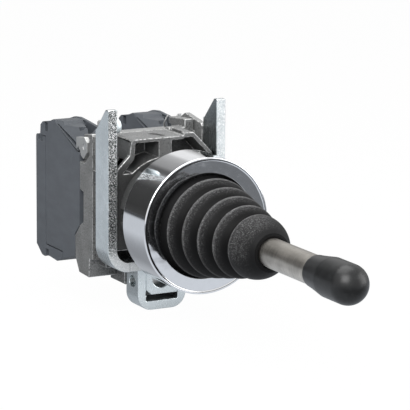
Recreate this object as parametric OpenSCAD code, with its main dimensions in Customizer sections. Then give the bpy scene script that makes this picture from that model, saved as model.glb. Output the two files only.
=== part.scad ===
// Panel-mounted two-direction joystick with a bellows, a die-cast body and two contact blocks.
// The lever points along -Y and the panel's front face is the plane y = 0. Sizes are in millimetres.

/* [Bezel and gasket] */
// Outer radius of the chromed bezel
bezel_r = 21.5; // [20:0.1:24]
// Length of the bezel along the lever
bezel_len = 15; // [13:0.5:18]
// Depth of the polished dish at the front
dish_depth = 1.2; // [0.8:0.1:2]
// Width of the dish's edge inside the bore
dish_edge_w = 0.6; // [0.3:0.1:0.9]
// Thickness of the dish's edge
dish_edge_t = 0.7; // [0.4:0.1:1]
// Radius of the rounded front lip
lip_r = 1.2; // [0.6:0.1:1.8]
// Thickness of the land that the neck pulls against
land_t = 9; // [7:0.5:9.5]
// Width of the land round the neck
land_w = 2; // [1.6:0.1:2.4]
// Thickness of the sealing gasket
gasket_t = 1; // [0.6:0.1:2]
// Width of the sealing gasket's ring
gasket_w = 5; // [3:0.5:6]

/* [Neck] */
// Outer radius of the neck that passes the panel
neck_r = 15; // [14:0.1:15.3]
// Wall of the neck
neck_wall = 2.2; // [1.6:0.1:2.4]
// Thickness of the flange at the front of the neck
neck_flange_t = 2; // [1.5:0.1:2.6]
// Width of the inner lip that carries the centring spring
spring_lip_w = 1.3; // [1:0.1:1.6]
// Half height of the windows that the rocker swings through
neck_window_h = 8.5; // [7.5:0.1:9]
// Length of the neck behind the pivot pin
ear_len = 5; // [3.5:0.5:6]
// Front face of the ring nut behind the panel
nut_y = 6.2; // [5:0.1:6.5]
// Thickness of the ring nut
nut_t = 4; // [2.5:0.5:4]
// Wall of the ring nut
nut_wall = 2; // [1.5:0.1:2.3]
// Depth of the spanner notches in the ring nut
nut_notch = 1.2; // [0.6:0.1:1.4]
// Width of the spanner notches in the ring nut
nut_notch_w = 4; // [3:0.5:6]

/* [Bellows] */
// Radius of the first crest
crest_first_r = 15.6; // [15:0.1:16.2]
// Radius of the last crest
crest_last_r = 9.8; // [9.4:0.1:11]
// Number of crests
crests = 5; // [4:1:6]
// Distance from one crest to the next
crest_pitch = 7; // [6.5:0.1:7.6]
// Distance of the first crest from the bezel's front face
crest_start = 3.5; // [2.8:0.1:4.5]
// Depth of a fold
fold_depth = 2.5; // [1.8:0.1:3]
// Wall of the rubber
rubber_t = 1; // [0.8:0.1:1.2]
// Thickness of the bead trapped behind the neck's flange
bead_t = 1; // [0.8:0.1:1.5]
// Length of the rounded nose
nose_len = 9.3; // [8:0.1:11]
// How much the nose tapers, where 1 is a round dome
nose_taper = 1.4; // [1:0.1:1.8]
// Wall of the lip that grips the lever
nose_lip = 1.2; // [0.8:0.1:1.6]
// Length of the lip that grips the lever
grip_len = 3; // [2:0.5:4]
// Skew of the folds, where 1 is even
fold_skew = 1.3; // [1:0.05:1.4]

/* [Lever and knob] */
// Radius of the lever's rod
rod_r = 4.5; // [4:0.1:4.8]
// Distance from the panel to the back of the knob
knob_y = 82; // [78:1:90]
// Length of the knob's tapered neck
knob_taper = 8.5; // [6:0.5:11]
// Radius of the knob's neck at the back
knob_neck_r = 4.85; // [4.85:0.05:5.4]
// Radius of the knob
knob_r = 6; // [5.8:0.1:8]
// Length of the knob's straight grip
knob_grip = 8.9; // [7:0.1:14]
// Radius of the threaded stud that holds the knob
stud_r = 3; // [2.5:0.1:3.2]
// Length of the threaded stud
stud_len = 14; // [10:0.5:15]
// Tilt of the lever to either side in degrees
tilt = 12; // [8:0.5:12]

/* [Rocker] */
// Distance from the panel to the pivot pin
pivot_y = 17; // [16.8:0.1:17.6]
// Radius of the pivot pin
pivot_r = 2; // [1.6:0.1:2.2]
// Distance from the pivot to the pads' faces
pad_y = 3; // [2.6:0.1:3.4]
// Thickness of the rocker's arms
arm_t = 2.7; // [2:0.1:2.8]
// Half height of the arms
arm_h = 5; // [3.5:0.1:6]
// Length of the hub in front of the pivot
hub_len = 11; // [9:0.5:12]
// Half width of the hub
hub_w = 6; // [5:0.1:6.2]
// Half height of the hub
hub_h = 9; // [7:0.1:9]
// Radius of the spigot that holds the lever in the hub
spigot_r = 3; // [2.6:0.1:3.6]
// Radius of the cross pin through the hub and the lever
cross_pin_r = 1; // [0.8:0.1:1.2]
// Radius of the washer under the centring spring
washer_r = 9; // [8.5:0.1:9.4]
// Thickness of the washer
washer_t = 1.2; // [0.8:0.1:1.4]

/* [Carrier casting] */
// Distance from the panel to the carrier's front face
carrier_y = 12; // [11.4:0.1:12.2]
// Thickness of the carrier's front wall
carrier_wall = 1.6; // [1.2:0.1:1.8]
// Distance from the panel to the joint of carrier and collar
joint_y = 25; // [24.6:0.1:26]
// Height of the carrier's flat top
carrier_top = 23.2; // [22.6:0.1:23.8]
// Height by which the right-hand arm stands above the flat top
arm_step = 0.9; // [0.5:0.1:1.2]
// Wall of the ribs round the two front pockets
rib = 1.2; // [0.9:0.1:1.6]
// Half width of the post between the pockets
post_w = 2.3; // [1.8:0.1:3]
// Depth of the front pockets
pocket_depth = 10; // [6:0.5:11]
// Width of the ring round the neck
ring_w = 2.1; // [1.8:0.1:2.3]
// Height of the carrier's diagonal shoulders
shoulder_h = 5; // [4:0.5:6]
// Width of the left shoulder
shoulder_w = 5.1; // [4:0.1:6]
// Width of the right shoulder
arm_w = 6.9; // [5:0.1:7]
// Thickness of the rib in front of the open left shoulder
shoulder_rib = 1.6; // [1.2:0.1:2]
// Width of the side ribs beside the pockets
side_rib = 1.7; // [1.4:0.1:2.2]
// Half height of the cavity behind the front wall
cavity_h = 9.5; // [9:0.1:10.4]

/* [Mounting strap] */
// Gap between the carrier and each of the strap's legs
strap_gap = 0.4; // [0.2:0.1:0.6]
// Gap between the neck and the strap's crosspiece
strap_drop = 0.7; // [0.1:0.1:0.9]
// Thickness of the strap
strap_t = 3.3; // [2.6:0.1:3.5]
// Depth of the strap from its front to its back edge
strap_d = 9.2; // [7.5:0.1:9.4]
// Distance from the panel to the strap's front edges
strap_y = 10.6; // [10.6:0.1:10.8]
// Height of the strap's left leg above the axis
strap_top = 33.4; // [30:0.2:36]
// Height by which the right leg stands above the left leg
leg_extra = 0.9; // [0:0.1:1.5]
// Inner radius of the strap's two bends
bend_r = 4.4; // [3:0.1:6]
// How far the crosspiece's front edge stands back from the legs' front edges
strap_relief = 0.3; // [0.1:0.1:0.6]
// Width of the leg left at its sheared top
leg_tip = 2; // [1.4:0.1:3]
// Height of the sheared corner
leg_shear = 7; // [5:0.5:9]
// Radius of the stud on the left leg
leg_stud_r = 2.4; // [2:0.1:2.4]
// Length of the stud on the left leg
leg_stud_len = 2.6; // [2:0.1:4]

/* [Clamp yoke and screw] */
// Half width of the yoke
yoke_w = 8.6; // [8:0.1:9.5]
// Wall of the yoke
yoke_t = 3; // [2:0.1:3.2]
// Distance from the panel to the yoke's front edge
yoke_y = 14; // [13:0.1:14.4]
// Depth of the yoke
yoke_d = 8.4; // [8:0.1:8.4]
// Height of the yoke
yoke_h = 13.8; // [13:0.1:16]
// Outer radius of the yoke's two lower bends
yoke_r = 5; // [4:0.1:6]
// Thickness of the yoke's two cross plates
plate_t = 1.4; // [1:0.1:1.6]
// Radius of the driver hole in the front plate
driver_hole_r = 3.2; // [2.6:0.1:3.3]
// Radius of the slotted hole in the yoke's side walls
side_hole_r = 1.7; // [1.2:0.1:2]
// Length that the slotted hole has beyond a round one
side_hole_len = 0.9; // [0.2:0.1:1.5]
// Radius of the clamp screw
clamp_screw_r = 2; // [1.6:0.1:2.2]
// Radius of the clamp screw's head
clamp_head_r = 3.3; // [2.9:0.1:3.5]
// Length of the clamp screw below its head
clamp_screw_len = 11; // [8:0.5:12]

/* [Collar casting] */
// Thickness of the collar's front wall
collar_wall = 3; // [2.4:0.1:3.2]
// Depth of the collar from its joint to the contact blocks
collar_d = 9.8; // [9.6:0.1:11]
// Height of the collar's left wall above the axis
collar_top = 21.8; // [21.4:0.1:22.4]
// Depth of the collar below the axis
collar_bottom = 23.8; // [23:0.1:25]
// Wall between a contact block's slot and the side face
slot_wall = 2.2; // [2.1:0.1:2.3]
// Height of the lug on the right-hand wall above the left wall
lug_h = 4; // [3:0.1:5]
// Length by which the lug reaches over the contact block
lug_reach = 1.7; // [1:0.1:2]
// Height by which the wall beside the lug stands above the lug
lug_wall_h = 0.9; // [0.4:0.1:1.4]
// Height by which the collar's left wall stands above its top
left_wall_h = 1.6; // [1:0.1:2]
// Radius of the push rods
push_r = 2; // [1.7:0.1:2]
// Radius of the stop flange on a push rod
push_flange_r = 2.4; // [2.3:0.05:2.45]

/* [Latches] */
// Thickness of a latch plate
latch_t = 1.5; // [1.2:0.1:1.5]
// Radius of a latch's pin
latch_pin_r = 1; // [0.8:0.1:1.2]
// Height of a latch's pin above the axis
latch_z = 18.4; // [18.2:0.1:18.6]
// Distance from a latch's pin back to the contact block
latch_back = 3.8; // [3.6:0.1:4]

/* [Contact blocks] */
// Width of a contact block
block_w = 9.6; // [9.5:0.1:10]
// Depth of a contact block
block_d = 33.9; // [32:0.1:36]
// Height of the block's ledge above the axis
ledge_z = 22.7; // [22:0.1:23.5]
// Depth of the block's rear cap
cap_d = 7.4; // [6.5:0.1:8]
// Height of the rear cap above the axis
cap_top = 16.8; // [16.5:0.1:18]
// Width of the seam round the rear cap
seam = 0.3; // [0.2:0.05:0.5]
// Depth of the latch pocket in the block's side
pocket_t = 1.6; // [1.5:0.05:1.7]
// Depth of the three-cornered pit in the block's ledge
pit_d = 2.9; // [2:0.1:3.2]
// Radius of the driver holes above the terminal screws
driver_r = 1.5; // [1.2:0.1:1.7]
// Thickness of the release tab that stands in the block
tab_t = 0.5; // [0.4:0.05:0.6]
// Height of the release tab above the block's ledge
tab_h = 2.8; // [2:0.1:3.4]
// Half width of the contact chamber
chamber_w = 2.8; // [2.75:0.05:3]
// Half height of the contact chamber
chamber_h = 9; // [8.4:0.1:9.5]

/* [Contacts] */
// Radius of the block's plunger
plunger_r = 2; // [1.6:0.1:2.2]
// Half width of the plunger's slider
slider_w = 2.6; // [2.4:0.05:2.65]
// Half height of the plunger's slider
slider_h = 4.2; // [3.8:0.1:4.6]
// Thickness of the contact strips
strip_t = 0.8; // [0.5:0.1:0.9]
// Height of a contact rivet above its strip
rivet_t = 0.6; // [0.4:0.1:0.8]
// Distance of a contact rivet from the axis
rivet_z = 6.4; // [6:0.1:7]
// Gap left between the contacts at full travel
contact_gap = 0.15; // [0.1:0.05:0.4]

/* [Terminals] */
// Distance from a block's front face to its terminal screws
terminal_y = 6.7; // [6.3:0.1:8]
// Radius of a terminal screw's head
terminal_head_r = 2.2; // [1.9:0.1:2.2]
// Radius of a terminal screw's shank
terminal_screw_r = 1.45; // [1.2:0.05:1.5]
// Height of the contact strip at the terminals
terminal_z = 13.6; // [13.2:0.1:13.8]
// Radius of a wire entry
wire_r = 1.5; // [1.2:0.1:1.5]

/* [Springs] */
// Wire radius of the centring spring
centring_wire = 0.55; // [0.4:0.05:0.6]
// Turns of the centring spring
centring_turns = 5; // [4:1:7]
// Wire radius of a block's return spring
return_wire = 0.25; // [0.2:0.05:0.3]
// Turns of a block's return spring
return_turns = 6; // [4:1:8]

/* [Fits] */
// Radial clearance of a running or sliding fit
run = 0.05; // [0.03:0.01:0.08]
// Clearance between pieces that rest beside each other
rest_gap = 0.2; // [0.1:0.05:0.25]

/* [Hidden] */
$fn = 48;

// Bezel, neck and bellows along the lever
bezel_back = -gasket_t;
bezel_front = bezel_back - bezel_len;
land_y = bezel_back - land_t;
bezel_bore = neck_r + land_w;
dish_r = bezel_bore - dish_edge_w;
nut_r = neck_r + nut_wall;
flange_back = land_y - bead_t;
flange_front = flange_back - neck_flange_t;
neck_bore = neck_r - neck_wall;
spring_lip_r = neck_bore - spring_lip_w;
skirt_r = bezel_bore - 0.1;
flange_r = skirt_r - rubber_t - run;
neck_end = pivot_y + ear_len;

// Rocker, push rods and their travel
arm_y = pivot_y + pad_y - arm_t;
hub_front = pivot_y - hub_len;
half_pitch = 1.5 * block_w;
travel = half_pitch * tan(tilt);
nose_gap = 0.3;
push_front = pivot_y + pad_y + nose_gap;
arm_len = (half_pitch + pad_y * sin(tilt)) / cos(tilt) + push_r * tan(tilt) + 0.6;
block_y = joint_y + collar_d + 0.1;
tip_y = block_y - nose_gap;
push_back = tip_y - nose_gap;
block_back = block_y + block_d;
collar_back = joint_y + collar_d;
guide_back = joint_y + 0.1 + collar_wall;
push_flange_y = guide_back + travel + 0.3;
push_flange_t = 0.9;
recess_d = push_flange_y + push_flange_t + travel + 0.2 - block_y;
side_x = 2 * block_w;

// Strap, carrier and yoke
ring_r = neck_r + ring_w;
carrier_w = ring_r;
strap_in = carrier_w + strap_gap;
strap_w = strap_in + strap_t;
strap_floor = -neck_r - strap_drop;
strap_bottom = strap_floor - strap_t;
strap_back = strap_y + strap_d;
cavity_w = carrier_w - 1.4;
yoke_top = strap_bottom - rest_gap;
yoke_bottom = yoke_top - yoke_h;
screw_z = yoke_top - clamp_head_r - 0.3;
yoke_back = yoke_y + yoke_d;
head_y = yoke_back - plate_t;
head_t = 3;
boss_w = yoke_w + 0.5;
boss_y = yoke_back + rest_gap;

// Contact block, from its front face backwards
seat_wall = 2.7;
chamber_y = block_y + seat_wall;
slider_y = chamber_y + travel + 0.3;
slot_y = slider_y + 2.6;
bridge_y = slot_y + 4.4;
slot_end = bridge_y + strip_t;
slider_back = slot_end + 2.2;
moving_rivet_y = bridge_y + strip_t + rivet_t;
fixed_rivet_y = moving_rivet_y + travel + contact_gap;
fixed_y = fixed_rivet_y + rivet_t;
cap_y = block_back - cap_d;
body_back = cap_y - seam;
cap_bottom = -19.5;
screw_y = block_y + terminal_y;
cavity_half = 2.5;
clamp_z = terminal_z + strip_t + 1.2;
head_z = clamp_z + strip_t + 0.05;
terminal_head_t = 2.2;
terminal_roof = head_z + terminal_head_t + 0.1;
wire_z = terminal_z + strip_t + 0.3;
latch_y = block_y - latch_back;

// Points of an arc about (x, y), from angle a to angle b, in n steps
function arc(x, y, r, a, b, n) =
  [for (i = [0 : n]) [x + r * cos(a + (b - a) * i / n), y + r * sin(a + (b - a) * i / n)]];

// Centre line and surface points of a round wire wound about the Y axis
function coil_point(r0, r1, y0, y1, turns, wire, t, k, sides) =
  let (a = 360 * turns * t, r = r0 + (r1 - r0) * t, y = y0 + (y1 - y0) * t, s = 360 * k / sides)
    [(r + wire * cos(s)) * cos(a), y + wire * sin(s), (r + wire * cos(s)) * sin(a)];

// A round wire wound about the Y axis from radius r0 at y0 to radius r1 at y1
module coil(r0, r1, y0, y1, turns, wire, steps = 14, sides = 6) {
  n = turns * steps;
  points = [for (i = [0 : n], k = [0 : sides - 1])
    coil_point(r0, r1, y0, y1, turns, wire, i / n, k, sides)];
  walls = [for (i = [0 : n - 1], k = [0 : sides - 1])
    let (a = i * sides + k, b = i * sides + (k + 1) % sides) [a, b, b + sides, a + sides]];
  first = [for (k = [sides - 1 : -1 : 0]) k];
  last = [for (k = [0 : sides - 1]) n * sides + k];
  polyhedron(points = points, faces = concat(walls, [first, last]), convexity = 10);
}

// A solid of revolution about the Y axis, from points of radius and y
module turned(points) rotate([-90, 0, 0]) rotate_extrude() polygon([for (p = points) [p[0], p[1]]]);

// A round bar along Y, X or Z
module bar_y(r, y0, y1) translate([0, y0, 0]) rotate([-90, 0, 0]) cylinder(r = r, h = y1 - y0);
module bar_x(r, x0, x1) translate([x0, 0, 0]) rotate([0, 90, 0]) cylinder(r = r, h = x1 - x0);
module bar_z(r, z0, z1) translate([0, 0, z0]) cylinder(r = r, h = z1 - z0);

// A box between two corners
module span(a, b) translate(a) cube(b - a);

// A plate from points of x and z, between y0 and y1
module plate_xz(points, y0, y1)
  translate([0, y1, 0]) rotate([90, 0, 0]) linear_extrude(y1 - y0) polygon(points);

// A plate from points of y and z, between x0 and x1
module plate_yz(points, x0, x1)
  translate([x0, 0, 0]) rotate([90, 0, 90]) linear_extrude(x1 - x0) polygon(points);

// The children once at each contact block's centre line
module at_left() translate([-half_pitch, 0, 0]) children();
module at_right() translate([half_pitch, 0, 0]) children();

// Bezel, gasket and neck

module bezel() color("gainsboro") turned(concat(
  [[neck_r + run, bezel_back], [bezel_r - 0.5, bezel_back], [bezel_r, bezel_back - 0.5]],
  arc(bezel_r - lip_r, bezel_front + lip_r, lip_r, 0, -90, 5),
  [for (i = [0 : 5]) let (t = i / 5)
    [dish_r + (bezel_r - lip_r - 0.2 - dish_r) * (1 - t) * (1 - 0.25 * t),
     bezel_front + dish_depth * t]],
  [[dish_r, bezel_front + dish_depth + dish_edge_t],
   [bezel_bore, bezel_front + dish_depth + dish_edge_t],
   [bezel_bore, land_y], [neck_r + run, land_y]]));

module gasket() color("dimgray") difference() {
  bar_y(neck_r + rest_gap + gasket_w, bezel_back, 0);
  bar_y(neck_r + rest_gap, bezel_back - 1, 1);
}

module neck_sleeve() color("slategray") difference() {
  union() {
    bar_y(neck_r, flange_back - 0.5, neck_end);
    bar_y(flange_r, flange_front, flange_back);
  }
  bar_y(spring_lip_r, flange_front - 1, flange_back + 1);
  bar_y(neck_bore, flange_back, neck_end + 1);
  span([-neck_r - 1, carrier_y + 1.2, -neck_window_h], [neck_r + 1, neck_end + 1, neck_window_h]);
  translate([0, pivot_y, 0]) bar_z(pivot_r, -neck_r - 1, neck_r + 1);
}

module ring_nut() color("dimgray") difference() {
  bar_y(nut_r, nut_y, nut_y + nut_t);
  bar_y(neck_r + run, nut_y - 1, nut_y + nut_t + 1);
  for (a = [0 : 60 : 300]) rotate([0, a, 0])
    span([nut_r - nut_notch, nut_y - 1, -nut_notch_w / 2],
         [nut_r + 2, nut_y + nut_t + 1, nut_notch_w / 2]);
}

// Bellows: one wave per fold, then a rounded nose that grips the lever

crest_y = bezel_front - crest_start;
last_crest_y = crest_y - (crests - 1) * crest_pitch;
nose_y = last_crest_y - nose_len;
nose_r = rod_r + run + nose_lip;

function crest_r(y) =
  crest_first_r + (crest_last_r - crest_first_r) * (crest_y - y) / (crest_y - last_crest_y);
function fold_phase(t) = floor(t) + pow(t - floor(t), fold_skew);
function wave_r(y) = crest_r(y)
  - fold_depth * pow(0.5 - 0.5 * cos(360 * fold_phase((crest_y - y) / crest_pitch)), 0.62);
wave = [for (i = [0 : 10 * (crests - 1)])
  let (y = crest_y - crest_pitch * i / 10) [wave_r(y), y]];
base = [for (i = [0 : 4]) let (y = crest_y + crest_pitch * (5 - i) / 10) [wave_r(y), y]];
nose = [for (a = [15 : 15 : 75])
  [nose_r + (crest_last_r - nose_r) * pow(cos(a), nose_taper), last_crest_y - nose_len * sin(a)]];
bellows_out = concat(
  [[skirt_r, land_y - 0.05], [skirt_r, flange_front - 0.6]], base, wave, nose, [[nose_r, nose_y]]);

module bellows() color("#2b2b2b") turned(concat(
  [[neck_r + 0.1, land_y - 0.05]], bellows_out, [[rod_r + run, nose_y]],
  [[rod_r + run, nose_y + grip_len]],
  [for (i = [len(nose) - 2 : -1 : 0])
    [nose[i][0] - rubber_t, nose[i][1] + rubber_t * (i + 1) / len(nose)]],
  [for (i = [len(wave) - 1 : -1 : 0]) [wave[i][0] - rubber_t, wave[i][1]]],
  [for (i = [len(base) - 1 : -1 : 1]) [base[i][0] - rubber_t, base[i][1]]],
  [[spring_lip_r + 0.4, flange_front - 0.2], [skirt_r - rubber_t, flange_front - 0.2],
   [skirt_r - rubber_t, flange_back + 0.05], [neck_r + 0.1, flange_back + 0.05]]));

// Lever, knob and rocker

module lever_rod() color("#a8a49c") difference() {
  turned([
    [0, -knob_y - stud_len], [stud_r - 0.4, -knob_y - stud_len], [stud_r, -knob_y - stud_len + 0.5],
    [stud_r, -knob_y], [rod_r - 0.3, -knob_y], [rod_r, -knob_y + 0.3],
    [rod_r, hub_front - 0.02], [spigot_r, hub_front - 0.02],
    [spigot_r, hub_front + 8], [spigot_r - 0.4, hub_front + 8.4], [0, hub_front + 8.4]]);
  translate([0, hub_front + 4, 0]) bar_x(cross_pin_r, -rod_r, rod_r);
}

module knob() color("#3a3c40") difference() {
  turned(concat(
    [[0, -knob_y - 0.05], [knob_neck_r - 0.3, -knob_y - 0.05], [knob_neck_r, -knob_y - 0.4],
     [knob_r - 0.05, -knob_y - knob_taper], [knob_r, -knob_y - knob_taper - 0.1]],
    arc(0, -knob_y - knob_taper - knob_grip, knob_r, 0, -84, 7),
    [[0, -knob_y - knob_taper - knob_grip - knob_r]]));
  bar_y(stud_r + 0.02, -knob_y - stud_len - 0.5, -knob_y + 1);
}

// The rocker is one casting: the hub takes the lever and the pivot pin, and each arm ends in a pad
module rocker() color("#8b8d90") difference() {
  union() {
    span([-hub_w, hub_front, -hub_h + 2], [hub_w, pivot_y + pad_y - 0.4, hub_h - 2]);
    span([-hub_w + 2, hub_front, -hub_h], [hub_w - 2, pivot_y + 1, hub_h]);
    translate([0, pivot_y, 0]) bar_z(pivot_r + 1.6, -neck_bore + 0.9, neck_bore - 0.9);
    plate_xz([
      [-arm_len, -arm_h + 1.5], [-hub_w, -arm_h], [hub_w, -arm_h], [arm_len, -arm_h + 1.5],
      [arm_len, arm_h - 1.5], [hub_w, arm_h], [-hub_w, arm_h], [-arm_len, arm_h - 1.5]],
      arm_y, pivot_y + pad_y);
    for (s = [-1, 1]) plate_xz([
      [s * hub_w, -0.8], [s * (arm_len - 4), -0.8], [s * (arm_len - 4), 0.8], [s * hub_w, 0.8]],
      arm_y - 1.2, arm_y + 0.1);
  }
  bar_y(spigot_r + 0.02, hub_front - 1, hub_front + 8.6);
  translate([0, pivot_y, 0]) bar_z(pivot_r + run, -neck_r, neck_r);
  translate([0, hub_front + 4, 0]) bar_x(cross_pin_r, -hub_w - 1, hub_w + 1);
}

module cross_pin() color("silver") translate([0, hub_front + 4, 0])
  bar_x(cross_pin_r, -hub_w + 0.2, hub_w - 0.2);

module pivot_pin() color("silver") translate([0, pivot_y, 0])
  bar_z(pivot_r, -neck_r + 0.4, neck_r - 0.4);

module spring_washer() color("silver") difference() {
  bar_y(washer_r, hub_front - washer_t, hub_front - 0.02);
  bar_y(rod_r + run, hub_front - washer_t - 1, hub_front + 1);
}

module centring_spring() color("silver") coil(
  (neck_bore + spring_lip_r) / 2, washer_r - 1.2, flange_back + centring_wire + 0.05,
  hub_front - washer_t - centring_wire - 0.1, centring_turns, centring_wire, 18, 6);

// Carrier casting: a saddle over the neck with two open pockets in its top

shoulder_z = carrier_top - shoulder_h;
saddle_z = 12.6;
left_x = shoulder_w - carrier_w;
arm_x = carrier_w - arm_w;
carrier_outline = [
  [-carrier_w, -12], [-carrier_w, saddle_z], [0.4 - carrier_w, saddle_z + 1.6],
  [left_x - 0.6, shoulder_z], [left_x, carrier_top - 1], [left_x + 0.3, carrier_top - 0.3],
  [left_x + 1, carrier_top], [6.4, carrier_top],
  [6.8, carrier_top + arm_step], [arm_x - 0.3, carrier_top + arm_step],
  [arm_x + 0.1, carrier_top + arm_step - 0.2], [carrier_w - 0.3, shoulder_z - 1], [carrier_w, saddle_z],
  [carrier_w, -12]];
pocket_left = [
  [side_rib + 0.5 - carrier_w, saddle_z], [left_x + side_rib - 0.5, shoulder_z - 1.1],
  [left_x + rib + 0.3, carrier_top - rib], [-post_w, carrier_top - rib], [-post_w, saddle_z]];
pocket_right = [
  [carrier_w - side_rib + 0.2, saddle_z], [carrier_w - side_rib + 0.2, shoulder_z - 1.8],
  [arm_x - 0.5, carrier_top + arm_step - rib * 1.3],
  [6.8, carrier_top + arm_step - rib * 1.3], [6.4, carrier_top - rib], [post_w, carrier_top - rib],
  [post_w, saddle_z]];
groove_len = 5.6;

module carrier() color("#5d5f61") difference() {
  union() {
    plate_xz(carrier_outline, carrier_y, joint_y);
    intersection() {
      bar_y(ring_r, carrier_y, joint_y);
      span([-ring_r, carrier_y, -12], [ring_r, joint_y, ring_r]);
    }
    span([-carrier_w, strap_back + 0.1, yoke_top + 0.1], [carrier_w, joint_y, -11]);
    for (s = [0, 1]) mirror([s, 0, 0])
      span([carrier_w - 1, strap_back + 0.1, 8], [side_x - 0.1, joint_y, 12]);
  }
  bar_y(neck_r + run, carrier_y - 1, neck_end + 0.3);
  difference() {
    union() {
      plate_xz(pocket_left, carrier_y - 1, carrier_y + pocket_depth);
      plate_xz(pocket_right, carrier_y - 1, carrier_y + pocket_depth);
      span([-carrier_w - 1, carrier_y + shoulder_rib, saddle_z + 0.3],
           [left_x + 0.2, joint_y - 1.6, carrier_top + 1]);
    }
    bar_y(ring_r, carrier_y - 2, joint_y);
  }
  span([-cavity_w, carrier_y + carrier_wall, -cavity_h], [cavity_w, joint_y + 1, cavity_h]);
  span([-carrier_w - 1, carrier_y + carrier_wall, -arm_h - 1],
       [carrier_w + 1, joint_y + 1, arm_h + 1]);
  translate([0.9, 15.1, carrier_top]) rotate([0, 0, 25])
    span([-0.85, 0, -0.95], [0.85, groove_len, 1]);
  span([6.6, 14.2, carrier_top - 0.8], [7.6, 22.4, carrier_top + arm_step + 1]);
}

// Mounting strap, bent from flat bar

module mounting_strap() color("#b9c4c5") difference() {
  translate([0, strap_back, 0]) rotate([90, 0, 0]) linear_extrude(strap_d) difference() {
    union() {
      translate([-strap_w, strap_bottom + bend_r + strap_t])
        square([2 * strap_w, strap_top + leg_extra - strap_bottom - bend_r - strap_t]);
      translate([-strap_w + bend_r + strap_t, strap_bottom])
        square([2 * (strap_w - bend_r - strap_t), bend_r + strap_t]);
      for (s = [-1, 1]) translate([s * (strap_w - bend_r - strap_t), strap_bottom + bend_r + strap_t])
        circle(r = bend_r + strap_t);
    }
    translate([-strap_in, strap_floor + bend_r]) square([2 * strap_in, 2 * strap_top]);
    translate([-strap_in + bend_r, strap_floor]) square([2 * (strap_in - bend_r), bend_r + 1]);
    for (s = [-1, 1]) translate([s * (strap_in - bend_r), strap_floor + bend_r]) circle(r = bend_r);
  }
  span([bend_r - strap_in, strap_y - 1, strap_bottom - 1],
       [strap_in - bend_r, strap_y + strap_relief, strap_floor + 1]);
  leg_top(strap_top, -strap_w - 1, 0);
  leg_top(strap_top + leg_extra, 0, strap_w + 1);
}

// What is sheared off above one leg
module leg_top(top, x0, x1) plate_yz([
  [strap_y - 1, top + 5], [strap_y - 1, top], [strap_y + leg_tip, top], [strap_back - 0.6, top - leg_shear],
  [strap_back + 1, top - leg_shear], [strap_back + 1, top + 5]], x0, x1);

module leg_stud() color("#d5dada") translate([0, strap_y + 4, strap_top - 5.8])
  rotate([0, 90, 0]) translate([0, 0, -strap_in]) rotate_extrude() polygon(concat(
    [[0, 0], [leg_stud_r, 0]],
    arc(leg_stud_r - 1, leg_stud_len - 1, 1, 0, 90, 4), [[0, leg_stud_len]]));

// Clamp yoke and its screw

module yoke_section(w, z0, r) union() {
  translate([-w, z0 + r]) square([2 * w, yoke_top - z0 - r]);
  translate([-w + r, z0]) square([2 * (w - r), r + 0.1]);
  for (s = [-1, 1]) translate([s * (w - r), z0 + r]) circle(r = r);
}

module clamp_yoke() color("#b9c4c5") difference() {
  union() {
    difference() {
      translate([0, yoke_back, 0]) rotate([90, 0, 0]) linear_extrude(yoke_d)
        yoke_section(yoke_w, yoke_bottom, yoke_r);
      translate([0, yoke_back + 1, 0]) rotate([90, 0, 0]) linear_extrude(yoke_d + 2)
        difference() {
          translate([-yoke_w + yoke_t, yoke_bottom + yoke_t])
            square([2 * (yoke_w - yoke_t), yoke_h + 1]);
        }
    }
    span([-yoke_w + yoke_t - 0.1, yoke_y + 0.3, yoke_bottom + yoke_t + 1.9],
         [yoke_w - yoke_t + 0.1, yoke_y + 0.3 + plate_t, yoke_top]);
    span([-yoke_w + yoke_t - 0.1, head_y, yoke_bottom + yoke_t - 0.1],
         [yoke_w - yoke_t + 0.1, yoke_back, yoke_top]);
  }
  plate_xz([
    [-yoke_w + yoke_t - 0.2, yoke_bottom + yoke_t + 1.8],
    [-yoke_w + yoke_t + 2, yoke_bottom + yoke_t + 1.8],
    [-yoke_w + yoke_t, yoke_bottom + yoke_t + 3.6]], yoke_y - 1, yoke_y + plate_t + 1);
  translate([0, 0, screw_z]) bar_y(driver_hole_r, yoke_y - 1, yoke_y + plate_t + 1);
  translate([0, 0, screw_z]) bar_y(clamp_screw_r + run, head_y - 1, yoke_back + 1);
  translate([0, yoke_y + 3.6, screw_z - 1]) {
    bar_x(side_hole_r, -yoke_w - 1, yoke_w + 1);
    translate([0, side_hole_len, 0]) bar_x(side_hole_r, -yoke_w - 1, yoke_w + 1);
    span([-yoke_w - 1, 0, -side_hole_r], [yoke_w + 1, side_hole_len, side_hole_r]);
  }
}

module clamp_screw() color("#c9ced0") translate([0, 0, screw_z]) difference() {
  turned([
    [0, head_y - head_t], [clamp_head_r - 0.5, head_y - head_t],
    [clamp_head_r, head_y - head_t + 0.5], [clamp_head_r, head_y - 0.05],
    [clamp_screw_r, head_y - 0.05], [clamp_screw_r, head_y + clamp_screw_len - 0.5],
    [clamp_screw_r - 0.5, head_y + clamp_screw_len], [0, head_y + clamp_screw_len]]);
  span([-clamp_head_r, head_y - head_t - 1, -0.5], [clamp_head_r, head_y - head_t + 1.2, 0.5]);
}

// Collar casting: carries a contact block at each end, with two empty places between them

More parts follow.
